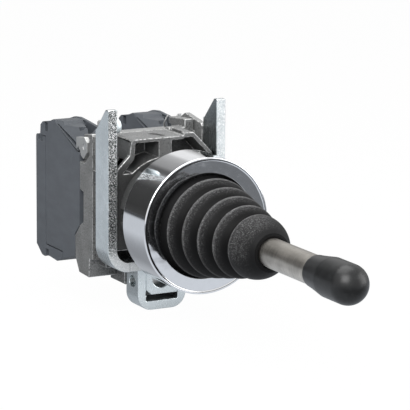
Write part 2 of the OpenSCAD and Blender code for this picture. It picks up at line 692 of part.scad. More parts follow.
module collar_slot(lug) {
  plate_yz([
    [joint_y + 0.1, collar_top - 1], [joint_y + 0.1, collar_top + (lug ? 0 : left_wall_h - 0.6)],
    [joint_y + 0.8, collar_top + (lug ? 0 : left_wall_h)], [collar_back, collar_top], [collar_back, 4],
    [collar_back - 2.7, 3.6], [collar_back - 2.7, -6.2], [collar_back, -7.9],
    [collar_back, -collar_bottom + 4], [joint_y + 3.6, -17.5], [joint_y + 0.1, -10]],
    -block_w / 2, -block_w / 2 + slot_wall);
  plate_yz([
    [joint_y + 0.1, collar_top], [collar_back, collar_top], [collar_back, -collar_bottom + 4],
    [joint_y + 0.1, -17]], block_w / 2 - 1, block_w / 2);
  plate_yz([
    [joint_y + 3.1, -collar_bottom], [collar_back + 0.6, -collar_bottom + 0.3],
    [collar_back + 3.4, -19], [collar_back + 3.6, -11.8], [collar_back, -8],
    [collar_back, -7.9], [joint_y + 2.6, -7.9], [joint_y + 2.6, -17.5]],
    -block_w / 2, block_w / 2);
  if (lug) {
    plate_yz([
      [joint_y + 0.1, collar_top - 1], [collar_back, collar_top - 1], [collar_back, ledge_z + rest_gap],
      [collar_back + lug_reach, ledge_z + rest_gap], [collar_back + lug_reach, collar_top + lug_h - 0.8],
      [joint_y + 0.1, collar_top + lug_h]], -0.7, block_w / 2 - slot_wall);
    plate_yz([
      [strap_back + 0.3, 12.3], [joint_y + 0.2, 12.3], [joint_y + 0.2, collar_top - 2],
      [collar_back, collar_top - 2], [collar_back, collar_top + lug_h - 0.6],
      [joint_y + 7, collar_top + lug_h + lug_wall_h], [strap_back + 1.1, collar_top + lug_h - 0.8],
      [strap_back + 0.3, collar_top + lug_h - 1.6]],
      carrier_w + 0.15 - half_pitch, block_w / 2);
  }
}

module collar() color("#82827e") difference() {
  union() {
    span([-side_x, joint_y + 0.1, -17.5], [side_x, guide_back, collar_top]);
    span([-side_x, joint_y + 0.1, collar_top - 2.4], [side_x, joint_y + 5, collar_top]);
    span([-14, joint_y + 0.1, collar_top - 2.4], [14, joint_y + 5, carrier_top]);
    at_left() collar_slot(false);
    at_right() collar_slot(true);
    span([-boss_w, boss_y, screw_z - 3.1], [boss_w, joint_y + 8, yoke_top - 0.05]);
    span([-boss_w, joint_y + 0.1, yoke_top - 1], [boss_w, joint_y + 8, -17]);
  }
  for (s = [-1, 1]) translate([s * half_pitch, 0, 0]) bar_y(push_r + run, joint_y, guide_back + 1);
  for (s = [-1, 1]) translate([s * half_pitch, 0, 0]) {
    plate_yz([
      [latch_y - 3.4, latch_z + 2.8], [latch_y - 3.4, latch_z - 2.2], [latch_y, latch_z - 5.2],
      [block_y, latch_z - 5.2], [block_y, collar_top + 3], [latch_y - 1.5, collar_top + 3]],
      -block_w / 2 - 1, -block_w / 2 + pocket_t);
    translate([0, latch_y, latch_z]) bar_x(latch_pin_r, -block_w / 2 - 1, -block_w / 2 + slot_wall + 1);
  }
  span([-8, joint_y - 1, -12], [8, guide_back + 1, 12]);
  translate([0, 0, screw_z]) bar_y(clamp_screw_r + run, boss_y - 1, head_y + clamp_screw_len + 0.6);
}

// Push rods between the rocker's pads and the contact blocks

module push_rod() color("#d8d2c4") turned(concat(
  [for (a = [0 : 15 : 90]) [push_r * sin(a), push_front + push_r * (1 - cos(a))]],
  [[push_r, push_flange_y], [push_flange_r, push_flange_y],
   [push_flange_r, push_flange_y + push_flange_t], [push_r, push_flange_y + push_flange_t],
   [push_r, push_back], [0, push_back]]));

// Latches that hold the blocks on the collar

latch_outline = [
  [5.9, 2.3], [0, 3.2], [-2.2, 1.7], [-2.2, -1.4], [0.6, -4], [2.4, -3.2], [3.3, -1.4], [4, -1.3],
  [4.2, -0.6], [4.9, -0.6], [5.2, -1.2], [5.9, -1.2]];

module latch() color("#a3a5a4") translate([-block_w / 2, latch_y, latch_z]) difference() {
  plate_yz(latch_outline, -0.15, latch_t - 0.15);
  bar_x(latch_pin_r + run, -1, latch_t + 1);
}

module latch_pin() translate([-block_w / 2, latch_y, latch_z])
  bar_x(latch_pin_r, 0, slot_wall - 0.1);

module latch_pins() color("silver") {
  at_left() latch_pin();
  at_right() latch_pin();
}

// Contact block: the body and the rear cap that closes it

body_outline = [
  [block_y, ledge_z], [block_y, -7.8], [block_y + 3.8, -11.5], [block_y + 3.6, -18.8],
  [cap_y - 13.4, -21.9], [cap_y - 13.4, cap_bottom + seam], [body_back, cap_bottom + seam],
  [body_back, cap_top + seam], [cap_y + 4.1, cap_top + seam], [cap_y + 3.8, cap_top + 3.6],
  [cap_y + 2.1, ledge_z - 1.1], [cap_y - 3.5, ledge_z - 0.1], [cap_y - 6.3, ledge_z + 0.9],
  [cap_y - 11.3, ledge_z + 1], [cap_y - 12.1, ledge_z]];
cap_outline = [
  [cap_y, cap_top], [block_back - 0.6, cap_top], [block_back, cap_top - 0.6], [block_back, -20.6],
  [block_back - 4.3, -23.6], [block_back - 6.4, -23.8], [block_back - 10.1, -23],
  [cap_y - 8.9, -23.4], [cap_y - 13.1, -22], [cap_y - 13.1, cap_bottom], [cap_y, cap_bottom]];
far_ridge = [
  [block_y + 1, ledge_z - 0.5], [cap_y + 1.8, ledge_z - 1.2], [cap_y - 1.3, ledge_z],
  [cap_y - 4.3, ledge_z + 0.9], [cap_y - 8.3, ledge_z + 1.3], [cap_y - 14, ledge_z + 0.9],
  [block_y + 5, ledge_z + 0.2]];
side_pocket = [
  [block_y - 1, latch_z - 2], [block_y + 2.1, latch_z - 2], [cap_y - 9, ledge_z - 0.2],
  [cap_y - 9.9, ledge_z - 0.2], [block_y + 2.4, latch_z - 0.7], [block_y + 2.4, ledge_z + 2],
  [block_y - 1, ledge_z + 2]];
tab_y = block_y + 2.2;
tab_z = 18.95;

// The funnel beside the latch: all that lies above one oblique plane
module funnel() {
  p = [-block_w / 2, cap_y - 9, ledge_z - 0.2];
  n = cross([0, block_y + 2.1 - p[1], latch_z - 2 - p[2]], [block_w / 2 + 1.5, block_y - p[1], 0.2]);
  u = n[2] > 0 ? n / norm(n) : -n / norm(n);
  intersection() {
    translate(p) rotate(a = acos(u[2]), v = cross([0, 0, 1], u)) translate([-60, -60, 0])
      cube([120, 120, 60]);
    span([-block_w / 2 - 1, block_y - 1, latch_z - 4], [1.5, cap_y - 8, ledge_z + 2]);
  }
}

// The terminal's hollows, seen as the top terminal
module terminal_hollow() {
  span([-cavity_half, screw_y - 3.2, terminal_z - 0.1],
       [cavity_half, fixed_y + strip_t + 0.1, terminal_roof]);
  translate([0, screw_y, 0]) {
    bar_z(driver_r, terminal_z, ledge_z + 3);
    bar_z(terminal_screw_r + 0.1, terminal_z - 1.4, terminal_z);
  }
  span([-2.2, fixed_y - 0.1, chamber_h - 1], [2.2, fixed_y + strip_t + 0.1, terminal_z + 1]);
  translate([0, 0, wire_z]) bar_y(wire_r, fixed_y, cap_y);
}

module block_body() color("#6a6e75") difference() {
  union() {
    plate_yz(body_outline, -block_w / 2, block_w / 2);
    plate_yz(far_ridge, block_w / 2 - 1.2, block_w / 2);
  }
  bar_y(plunger_r + run, block_y - 1, chamber_y + 1);
  bar_y(push_flange_r + 0.4, block_y - 1, block_y + recess_d);
  span([-chamber_w, chamber_y, -chamber_h], [chamber_w, cap_y, chamber_h]);
  terminal_hollow();
  mirror([0, 0, 1]) terminal_hollow();
  plate_yz(side_pocket, -block_w / 2 - 1, -block_w / 2 + pocket_t);
  funnel();
  translate([0, 0, ledge_z - pit_d]) linear_extrude(pit_d + 2) polygon([
    [-0.9, block_y + 1.1], [3.1, cap_y - 13.1], [block_w / 2 - 1.2, cap_y - 13.1],
    [block_w / 2 - 1.2, block_y + 1.1]]);
  span([-2.2, tab_y - run, tab_z - run], [block_w / 2 - 0.3, tab_y + tab_t + run, ledge_z - pit_d + 0.5]);
  span([-2.2, tab_y - run, tab_z], [-1.5, tab_y + tab_t + run, ledge_z + 1]);
  span([2.7, tab_y - run, tab_z], [block_w / 2 - 0.3, tab_y + tab_t + run, ledge_z + 2]);
  span([-block_w / 2 - 1, body_back - 1.6, cap_top + 2],
       [-block_w / 2 + 1.5, body_back + 0.8, cap_top + 4.9]);
}

// Release tab: a flat plate with one prong or two, held by its foot in a slit of the block
module release_tab(two) plate_xz(concat([
  [-2.1, tab_z], [block_w / 2 - 0.4, tab_z], [block_w / 2 - 0.4, ledge_z + tab_h],
  [3.3, ledge_z + tab_h], [2.8, ledge_z + tab_h - 0.5], [2.8, tab_z + 0.7]],
  two ? [[-1.65, tab_z + 0.7], [-1.65, ledge_z + 0.2], [-0.35, ledge_z + tab_h - 0.2],
    [-0.8, ledge_z + tab_h - 0.1], [-2.1, ledge_z + 0.3]] : [[-2.1, tab_z + 0.7]]),
  tab_y, tab_y + tab_t);

module release_tabs() color("silver") {
  at_left() release_tab(false);
  at_right() release_tab(true);
}

module block_cap() color("#666a71") difference() {
  plate_yz(cap_outline, -block_w / 2, block_w / 2);
  bar_y(return_r + return_wire + 0.3, cap_y - 1, cap_y + 1);
  for (s = [-1, 1]) translate([0, 0, s * wire_z]) bar_y(wire_r, cap_y - 1, block_back + 1);
  span([-block_w / 2 - 1, cap_y + 2.1, cap_top - 1.9], [-block_w / 2 + 1.2, cap_y + 6.2, cap_top + 1]);
  span([-block_w / 2 - 1, cap_y - 2.2, -25], [-block_w / 2 + 1.5, cap_y + 0.2, -21]);
}

// Moving and fixed contacts inside a block

return_r = 1.5;

module plunger() color("#e6e2d6") difference() {
  union() {
    turned([
      [0, tip_y], [plunger_r - 0.4, tip_y], [plunger_r, tip_y + 0.4],
      [plunger_r, slider_y + 0.5], [0, slider_y + 0.5]]);
    span([-slider_w, slider_y, -slider_h], [slider_w, slider_back, slider_h]);
    bar_y(return_r - return_wire - 0.15, slider_back, slider_back + 2);
  }
  span([-2.1, slot_y, -slider_h - 1], [2.1, slot_end + 0.02, slider_h + 1]);
}

module bridge() color("#c98a4b") {
  span([-1.9, bridge_y, -rivet_z - 1.4], [1.9, bridge_y + strip_t, rivet_z + 1.4]);
  for (s = [-1, 1]) translate([0, 0, s * rivet_z])
    bar_y(1.2, bridge_y + strip_t, moving_rivet_y);
}

module bridge_spring() color("silver")
  coil(1.5, 1.5, slot_y + 0.3, bridge_y - 0.3, 3, 0.25, 12, 6);

module return_spring() color("silver")
  coil(return_r, return_r, slider_back + return_wire + 0.05, cap_y + 1 - return_wire - 0.05,
       return_turns, return_wire, 12, 6);

module fixed_contact() difference() {
  union() {
    span([-2, fixed_y, 5.2], [2, fixed_y + strip_t, terminal_z + strip_t]);
    span([-2, screw_y - 2.9, terminal_z], [2, fixed_y + strip_t, terminal_z + strip_t]);
    translate([0, 0, rivet_z]) bar_y(1.1, fixed_rivet_y, fixed_y);
  }
  translate([0, screw_y, 0]) bar_z(terminal_screw_r + run, terminal_z - 1, terminal_z + 2);
}

module fixed_contacts() color("#c98a4b") {
  fixed_contact();
  mirror([0, 0, 1]) fixed_contact();
}

module wire_clamp() difference() {
  span([-2.3, screw_y - 2.6, clamp_z], [2.3, screw_y + 2.6, clamp_z + strip_t]);
  translate([0, screw_y, 0]) bar_z(terminal_screw_r + run, clamp_z - 1, clamp_z + 2);
}

module wire_clamps() color("silver") {
  wire_clamp();
  mirror([0, 0, 1]) wire_clamp();
}

module terminal_screw() color("#c9ced0") translate([0, screw_y, 0]) difference() {
  union() {
    bar_z(terminal_screw_r, terminal_z - 1, head_z + 0.1);
    bar_z(terminal_head_r, head_z, head_z + terminal_head_t);
  }
  span([-3, -0.4, head_z + terminal_head_t - 0.9], [3, 0.4, head_z + terminal_head_t + 1]);
  span([-0.4, -3, head_z + terminal_head_t - 0.9], [0.4, 3, head_z + terminal_head_t + 1]);
}

bezel();
gasket();
neck_sleeve();
ring_nut();
bellows();
centring_spring();
pivot_pin();
lever_rod();
knob();
rocker();
cross_pin();
spring_washer();
carrier();
mounting_strap();
leg_stud();
clamp_yoke();
clamp_screw();
collar();
at_left() push_rod();  // push_rod_left
at_right() push_rod();  // push_rod_right
at_left() latch();  // latch_left
at_right() latch();  // latch_right
latch_pins();
at_left() block_body();  // block_body_left
at_right() block_body();  // block_body_right
at_left() block_cap();  // block_cap_left
at_right() block_cap();  // block_cap_right
at_left() plunger();  // plunger_left
at_right() plunger();  // plunger_right
at_left() bridge();  // bridge_left
at_right() bridge();  // bridge_right
at_left() bridge_spring();  // bridge_spring_left
at_right() bridge_spring();  // bridge_spring_right
at_left() return_spring();  // return_spring_left
at_right() return_spring();  // return_spring_right
at_left() fixed_contacts();  // fixed_contacts_left
at_right() fixed_contacts();  // fixed_contacts_right
at_left() wire_clamps();  // wire_clamps_left
at_right() wire_clamps();  // wire_clamps_right
at_left() terminal_screw();  // terminal_screw_top_left
at_left() mirror([0, 0, 1]) terminal_screw();  // terminal_screw_bottom_left
at_right() terminal_screw();  // terminal_screw_top_right
at_right() mirror([0, 0, 1]) terminal_screw();  // terminal_screw_bottom_right
release_tabs();
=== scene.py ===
"""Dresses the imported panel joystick: turned pieces in finer mesh, finishes, light and camera.

The lever points along -Y and the panel is the plane y = 0. The named lengths in this file are
in millimetres.
"""

import math

import bmesh
import bpy
from bpy.props import (
    FloatProperty,
    FloatVectorProperty,
    IntProperty,
    PointerProperty,
)
from mathutils import Euler, Matrix, Vector


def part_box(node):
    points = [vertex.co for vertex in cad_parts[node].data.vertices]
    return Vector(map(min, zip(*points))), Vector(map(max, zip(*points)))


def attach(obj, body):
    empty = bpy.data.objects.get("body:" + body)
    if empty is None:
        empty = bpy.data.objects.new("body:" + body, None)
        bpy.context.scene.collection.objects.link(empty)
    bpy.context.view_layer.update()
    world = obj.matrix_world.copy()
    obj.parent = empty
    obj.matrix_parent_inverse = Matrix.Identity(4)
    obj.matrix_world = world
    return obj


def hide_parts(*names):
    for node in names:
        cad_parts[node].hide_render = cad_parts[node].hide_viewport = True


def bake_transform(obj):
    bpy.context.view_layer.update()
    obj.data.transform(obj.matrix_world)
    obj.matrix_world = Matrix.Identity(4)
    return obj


bl_info = {
    "name": "Panel joystick",
    "version": (1, 0, 0),
    "blender": (4, 5, 0),
    "location": "View3D > Sidebar > Joystick",
    "description": "Finishes, fine pieces, light and camera for a panel joystick",
    "category": "Add Mesh",
}

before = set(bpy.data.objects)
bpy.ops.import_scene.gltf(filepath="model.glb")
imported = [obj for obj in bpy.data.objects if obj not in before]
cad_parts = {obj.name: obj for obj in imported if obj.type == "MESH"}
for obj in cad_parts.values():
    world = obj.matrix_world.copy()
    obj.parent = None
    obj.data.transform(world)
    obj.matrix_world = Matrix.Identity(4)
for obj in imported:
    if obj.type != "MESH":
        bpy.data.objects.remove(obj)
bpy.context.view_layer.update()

MM = 0.001
SIDES = ("left", "right")


def reach(node, side, axis):
    """A CAD node's lowest (0) or highest (1) coordinate on an axis, in millimetres."""
    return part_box(node)[side][axis] / MM


# Sizes from the CAD model

BEZEL_R = reach("bezel", 1, 0)
BEZEL_FRONT = reach("bezel", 0, 1)
BEZEL_BACK = reach("bezel", 1, 1)
BELLOWS_FRONT = reach("bellows", 0, 1)
BELLOWS_BACK = reach("bellows", 1, 1)
ROD_R = reach("lever_rod", 1, 0)
KNOB_R = reach("knob", 1, 0)
KNOB_BACK = reach("knob", 1, 1)
KNOB_FRONT = reach("knob", 0, 1)
YOKE_HALF_W = reach("clamp_yoke", 1, 0)
YOKE_FRONT = reach("clamp_yoke", 0, 1)
YOKE_BOTTOM = reach("clamp_yoke", 0, 2)
YOKE_TOP = reach("clamp_yoke", 1, 2)

# Places that the finishes follow

LEG_INSIDE = 17.0
STRAP_BEND = (-15.0, -9.0)
YOKE_WALL = 2.9
GROOVE_X = (-2.9, 2.2)
GROOVE_Y = (14.2, 21.2)
GROOVE_Z = (20.0, 21.0)
LOW_SHADE_TOP = 18.5

# Details of the spun pieces

MERGE = 0.002
DISH_STEP = 0.14
DISH_CURVE = 0.25
RIM_CHAMFER = 0.06
BEZEL_BACK_R = 0.5
SKIRT_WIDTH = 1.6
SKIRT_END = -13.6
ROD_GAP = 0.05
ROD_GRIP = 3.0
VALLEY_CURVE = 0.62
FOLD_STEPS = 22
BELLOWS_STEPS = 144
KNOB_STEPS = 96
KNOB_LIP = 0.4
KNOB_CURVE = 1.15
CENTRING_SPRING = {"radii": (12.15, 7.8), "turns": 5, "wire": 0.55}
RETURN_SPRING = {"radii": (1.5, 1.5), "turns": 6, "wire": 0.25}
BRIDGE_SPRING = {"radii": (1.5, 1.5), "turns": 3, "wire": 0.25}

# The room as reflections show it: grey by angle in degrees about Y, as a colour ramp's stops

REFLECTED_ROOM = [
    ((turn + 180) / 360, grey)
    for turn, grey in (
        (-180, 0.07), (-174, 0.45), (-168, 0.68), (-60, 0.50), (-12, 0.30), (0, 0.14),
        (10, 0.18), (20, 0.60), (32, 1.0), (50, 1.0), (58, 0.58), (72, 0.44), (86, 0.36),
        (93, 0.14), (99, 0.13), (107, 0.42), (113, 0.30), (122, 0.12), (132, 0.066),
        (168, 0.050), (180, 0.07),
    )
]

# Each lamp's name, which is its setting's too, with its place and the side of its square

LAMPS = (
    ("key", (-300, -330, 330), 320),
    ("fill", (380, -260, 150), 320),
    ("top", (-20, 60, 400), 420),
)
LAMP_AIM = (0.0, -10.0, 0.0)
FLOOR_GAP = 0.4
FLOOR_R = 6000.0


# Properties


def number(name, description, default, **limits):
    """A property for a number, with min and max where they matter."""
    return FloatProperty(name=name, description=description, default=default, **limits)


def length(name, description, default, low=0.0, high=200.0):
    """A property for a length in millimetres."""
    return number(name, f"{description}, in mm", default, min=low, max=high)


def count(name, description, default, low, high):
    """A property for a whole number."""
    return IntProperty(name=name, description=description, default=default, min=low, max=high)


def colour(name, description, default):
    """A property for a linear colour."""
    return FloatVectorProperty(
        name=name,
        description=description,
        default=default,
        size=3,
        min=0.0,
        max=1.0,
        subtype="COLOR",
    )


class JoystickBezelSizes(bpy.types.PropertyGroup):
    """Sizes of the chromed bezel, in millimetres."""

    lip: length("Front lip", "Radius of the rounded front lip", 0.42, 0.2, 3.0)
    rim: length("Rim width", "Width of the flat rim between lip and dish", 0.25, 0.0, 1.0)
    bore: length("Bore", "Radius of the bore behind the dish", 17.0, 15.0, 19.0)
    dish: length("Dish depth", "Depth of the polished dish", 0.12, 0.0, 3.0)
    edge_w: length("Dish edge width", "Width of the dish's edge inside the bore", 0.6, 0.2, 1.0)
    edge_t: length("Dish edge thickness", "Thickness of the dish's edge", 0.7, 0.3, 1.2)
    neck: length("Neck radius", "Radius of the hole that the neck passes", 15.05, 14.0, 16.0)
    land: length("Land", "Distance of the bezel's inner land from its back", 9.0, 4.0, 12.0)
    steps: count("Steps", "Steps round the bezel", 192, 32, 360)


class JoystickBellowsSizes(bpy.types.PropertyGroup):
    """Sizes of the rubber bellows, in millimetres."""

    crest_y: length("First crest", "Distance of the first crest from the panel", 19.5)
    pitch: length("Pitch", "Distance from crest to crest", 7.0, 3.0, 12.0)
    first_r: length("First radius", "Radius of the first crest", 15.6, 8.0, 20.0)
    last_r: length("Last radius", "Radius of the last crest", 9.8, 6.0, 16.0)
    depth: length("Fold depth", "Depth of a fold", 2.5, 0.5, 4.0)
    skew: number("Fold skew", "How far a fold leans back", 1.3, min=1.0, max=2.0)
    crests: count("Crests", "Number of crests", 5, 2, 9)
    skirt_r: length("Skirt radius", "Radius of the skirt in the bezel", 16.85, 12.0, 20.0)
    taper: number("Nose taper", "1 is a round nose", 2.0, min=0.8, max=2.5)
    lip: length("Lip", "Wall of the lip that grips the lever", 1.2, 0.5, 3.0)
    wall: length("Wall", "Wall of the rubber", 0.9, 0.4, 2.0)


class JoystickKnobSizes(bpy.types.PropertyGroup):
    """Sizes of the knob, in millimetres."""

    neck_r: length("Neck radius", "Radius of the knob where the rod enters", 4.85, 4.0, 6.0)
    taper: length("Taper", "Length of the knob's tapered neck", 8.5, 3.0, 15.0)


class JoystickFinishes(bpy.types.PropertyGroup):
    """Linear colours of the finishes."""

    chrome: colour("Chrome", "Bezel plating", (0.84, 0.85, 0.87))
    rubber: colour("Rubber", "Bellows and gasket", (0.0100, 0.0100, 0.0105))
    # Also the colour of the painted highlight and sheen on the bellows' crests.
    rubber_bloom_and_sheen: colour("Rubber bloom", "Pale bloom on the rubber's crests", (0.170, 0.170, 0.172))
    knob: colour("Knob", "Moulded knob", (0.012, 0.0125, 0.013))
    lever: colour("Lever", "Turned steel rod", (0.50, 0.475, 0.435))
    carrier: colour("Carrier", "Dark casting", (0.135, 0.137, 0.137))
    collar: colour("Collar", "Light casting", (0.185, 0.187, 0.186))
    rubbed: colour("Rubbed casting", "Edges brightened by handling", (0.60, 0.605, 0.60))
    zinc: colour("Zinc", "Plated strap and yoke", (0.70, 0.75, 0.765))
    block: colour("Contact block", "Moulded contact block", (0.088, 0.098, 0.112))
    pale: colour("Pale plastic", "Push rods and plungers", (0.70, 0.66, 0.57))
    contact: colour("Contact metal", "Contact strips", (0.78, 0.52, 0.26))
    steel: colour("Steel", "Screws, pins, springs and latches", (0.58, 0.585, 0.58))


class JoystickStageSettings(bpy.types.PropertyGroup):
    """Camera and light."""

    azimuth: number("Azimuth", "Camera's turn about Z, degrees", -28.165)
    elevation: number("Elevation", "Camera's angle above the floor, degrees", 11.902)
    roll: number("Roll", "Camera's roll, degrees", 0.476)
    place: FloatVectorProperty(
        name="Place", description="Camera's place in mm", default=(-346.8, -662.5, 161.3), size=3
    )
    lens: number("Lens", "Focal length on a 36 mm sensor, in mm", 214.57)
    key: number("Key", "Key light's power, W", 2.4, min=0.0)
    fill: number("Fill", "Fill light's power, W", 1.0, min=0.0)
    top: number("Top", "Top light's power, W", 1.6, min=0.0)
    world: number("World", "Strength of the room's light", 0.4, min=0.0)
    mirror: number("Mirror", "Strength of the room in reflections", 0.9, min=0.0)


# Node expressions


def tint(rgb, factor):
    """A colour made lighter or darker."""
    return tuple(min(1.0, c * factor) for c in rgb)


class Field:
    """One output of a node in an expression: arithmetic on it adds Math nodes."""

    def __init__(self, tree, socket):
        self.tree, self.socket = tree, socket

    def __add__(self, other):
        return self.tree.math("ADD", self, other)

    __radd__ = __add__

    def __sub__(self, other):
        return self.tree.math("SUBTRACT", self, other)

    def __rsub__(self, other):
        return self.tree.math("SUBTRACT", other, self)

    def __mul__(self, other):
        return self.tree.math("MULTIPLY", self, other)

    __rmul__ = __mul__

    def __truediv__(self, other):
        return self.tree.math("DIVIDE", self, other)

    def __pow__(self, other):
        return self.tree.math("POWER", self, other)

    def __abs__(self):
        return self.tree.math("ABSOLUTE", self)

    def least(self, limit):
        """The lesser of this and a limit."""
        return self.tree.math("MINIMUM", self, limit)

    def rise(self, low, high):
        """0 at low, 1 at high, with a smooth step between; low may be the greater."""
        return self.tree.node(
            "ShaderNodeMapRange",
            {"interpolation_type": "SMOOTHSTEP"},
            {0: self, 1: low, 2: high, 3: 0.0, 4: 1.0},
        )

    def within(self, low, high, edge=0.3):
        """1 between low and high, falling to 0 over an edge at each end."""
        return self.rise(low, low + edge) * self.rise(high, high - edge)


class NodeTree:
    """A node tree that is written as expressions."""

    def __init__(self, tree):
        self.tree = tree
        tree.nodes.clear()

    def node(self, kind, settings=None, values=None, output=0):
        """A node of a kind, with its settings first and then its sockets' values or links."""
        made = self.tree.nodes.new(kind)
        for name, value in (settings or {}).items():
            if name == "stops":
                self.ramp(made, value)
            else:
                setattr(made, name, value)
        for socket, value in (values or {}).items():
            if isinstance(value, Field):
                self.tree.links.new(value.socket, made.inputs[socket])
            elif value is not None:
                made.inputs[socket].default_value = value
        return Field(self, made.outputs[output]) if made.outputs else made

    @staticmethod
    def ramp(made, stops):
        """Sets a colour ramp's stops from (place, grey) pairs."""
        elements = made.color_ramp.elements
        while len(elements) < len(stops):
            elements.new(0.5)
        for element, (place, grey) in zip(elements, stops):
            element.position = place
            element.color = (grey, grey, grey, 1.0)

    def math(self, operation, *values):
        """A Math node on fields or numbers."""
        return self.node("ShaderNodeMath", {"operation": operation}, dict(enumerate(values)))

    def place(self):
        """Object coordinates, in millimetres."""
        return self.scale(self.node("ShaderNodeTexCoord", output=3), (1 / MM,) * 3)

    def scale(self, vector, factors):
        """A vector times one factor for each axis."""
        return self.node(
            "ShaderNodeVectorMath", {"operation": "MULTIPLY"}, {0: vector, 1: factors}
        )

    def part(self, vector, axis):
        """One component of a vector."""
        return self.node("ShaderNodeSeparateXYZ", None, {0: vector}, output="XYZ".index(axis))

    def axes(self, vector):
        """The three components of a vector."""
        return [self.part(vector, axis) for axis in "XYZ"]

    def facing(self, axis):
        """One component of the surface's normal."""
        return self.part(self.node("ShaderNodeNewGeometry", output=1), axis)

    def light_path(self):
        """Whether a ray comes from the camera, and whether it is a reflection."""
        return [self.node("ShaderNodeLightPath", output=item) for item in (0, 3)]

    def noise(self, vector, size, detail=3.0, roughness=0.55):
        """Noise between 0 and 1, with grains of about a size in mm."""
        return self.node(
            "ShaderNodeTexNoise",
            {"noise_dimensions": "3D"},
            {"Vector": vector, "Scale": 1 / size, "Detail": detail, "Roughness": roughness},
        )

    def mix(self, mask, first, second):
        """The first colour where the mask is 0 and the second where it is 1."""
        rgba = [c if isinstance(c, Field) else (*c, 1.0) for c in (first, second)]
        return self.node(
            "ShaderNodeMix", {"data_type": "RGBA"}, {0: mask, 6: rgba[0], 7: rgba[1]}, output=2
        )

    def shades(self, mask, rgb, first, second):
        """A colour times the first factor where the mask is 0 and the second where it is 1."""
        return self.mix(mask, tint(rgb, first), tint(rgb, second))

    def bump(self, height, strength, distance, normal=None):
        """A bumped normal; the distance is in mm."""
        return self.node(
            "ShaderNodeBump",
            None,
            {
                "Height": height,
                "Strength": strength,
                "Distance": distance * MM,
                "Normal": normal,
            },
        )


class Finish(NodeTree):
    """A material with a Principled surface."""

    def __init__(self, name):
        self.material = bpy.data.materials.new(name)
        self.material.use_nodes = True
        super().__init__(self.material.node_tree)

    def surface(self, **sockets):
        """Ends the tree in a Principled shader; socket names are written with underscores."""
        values = {name.replace("_", " "): value for name, value in sockets.items()}
        shader = self.node("ShaderNodeBsdfPrincipled", None, values)
        self.node("ShaderNodeOutputMaterial", None, {0: shader})
        return self.material


# Finishes


def chrome_finish(colours):
    """Bright plating with a faint waviness; the dish, which faces -Y, is smudged and uneven."""
    f = Finish("chrome plating")
    place = f.place()
    haze = f.noise(place, 2.5)
    swirl = f.noise(f.scale(place, (1.0, 14.0, 1.0)), 3.0, detail=4.0)
    dish = f.facing("Y").rise(-0.95, -0.98)
    smear = f.noise(f.scale(place, (1.0, 1.0, 1.8)), 4.0, detail=5.0, roughness=0.65)
    smudge = smear.rise(0.48, 0.72) * dish
    waves = f.bump(f.noise(place, 6.0, detail=1.0), strength=0.12, distance=0.02)
    uneven = dish * f.noise(place, 9.0, detail=2.0)
    return f.surface(
        Base_Color=f.shades(haze + smudge * 0.2, colours.chrome, 0.95, 1.04),
        Metallic=1.0,
        Roughness=0.045 + haze * 0.03 + swirl * 0.03 + smudge * 0.09,
        Normal=f.bump(uneven, strength=0.5, distance=0.35, normal=waves),
    )


def rubber_finish(colours, folds=None):
    """Black moulded rubber with a pale bloom.

    Where folds are given, as their crests' first radius, last radius, first y and last y, the
    valleys get painted shade, and the bloom, with a painted highlight, lies along the crests,
    thickest on the painted light from up and left.
    """
    f = Finish("black rubber" if folds is None else "bellows rubber")
    place = f.place()
    mottle = f.noise(place, 1.8, detail=5.0, roughness=0.65)
    speck = f.noise(place, 0.34, detail=3.0, roughness=0.7).rise(0.52, 0.62)
    grain = f.noise(place, 0.20, detail=2.0)
    bloom_and_sheen = mottle.rise(0.35, 0.8) * 0.10 + speck * 0.16
    base = tuple(colours.rubber)
    if folds is not None:
        first_r, last_r, first_y, last_y = folds
        x, y, z = f.axes(place)
        radius = (x * x + z * z) ** 0.5
        crest = first_r + (y - first_y) * ((last_r - first_r) / (last_y - first_y))
        height = radius - crest
        nose = y.rise(last_y - 0.2, last_y - 2.5)
        skirt = y.rise(first_y + 0.6, first_y + 2.0)
        # Painted shade: the valleys between the crests are darker in the colour; crests, nose and
        # skirt stay clear of it.
        clear_of_valley_shade = (height.rise(-2.3, -0.5) + nose + skirt).least(1.0)
        # Painted light: the side that faces up and left is picked out.
        painted_light = ((z - x * 0.9) / radius).rise(0.25, 1.05)
        # Painted highlight along each crest, mixed with pale dust.
        ridge = height.rise(-0.36, -0.02) * y.rise(last_y - 0.9, last_y - 0.1)
        # Pale dust with a painted sheen on the crests' shoulders and the nose's shoulder.
        shoulder_bloom_and_sheen = height.rise(-1.6, -0.1) * (0.3 + painted_light)
        shoulder_bloom_and_sheen = shoulder_bloom_and_sheen + nose * y.rise(last_y - 5.0, last_y - 1.0) * (0.15 + painted_light * 0.7)
        dust_and_sheen = 0.09 + mottle * 0.22 + painted_light * 0.14 + speck * (0.08 + painted_light * 0.62)
        bloom_and_sheen = shoulder_bloom_and_sheen * (mottle * 0.10 + speck * 0.44) + ridge * dust_and_sheen
        # The valleys' painted shade darkens the base colour here.
        base = f.shades(clear_of_valley_shade, base, 0.16, 0.80)
    soft = f.bump(mottle, strength=0.25, distance=0.10)
    return f.surface(
        Base_Color=f.mix(bloom_and_sheen, base, tuple(colours.rubber_bloom_and_sheen)),
        Roughness=0.46 + mottle * 0.16 + bloom_and_sheen * 0.08,
        Specular_IOR_Level=0.11,
        Normal=f.bump(grain, strength=0.32, distance=0.05, normal=soft),
    )


def knob_finish(colours):
    """Satin black thermoset with light handling marks."""
    f = Finish("satin knob")
    place = f.place()
    wear = f.noise(place, 2.2, detail=4.0, roughness=0.6)
    fine = f.noise(f.scale(place, (1.0, 0.35, 1.0)), 0.25, detail=3.0)
    marks = f.bump(wear, strength=0.06, distance=0.05)
    return f.surface(
        Base_Color=f.shades(wear.rise(0.45, 0.8), colours.knob, 1.0, 1.7),
        Roughness=0.27 + wear * 0.10 + fine * 0.05,
        Specular_IOR_Level=0.36,
        Normal=f.bump(fine, strength=0.10, distance=0.02, normal=marks),
    )


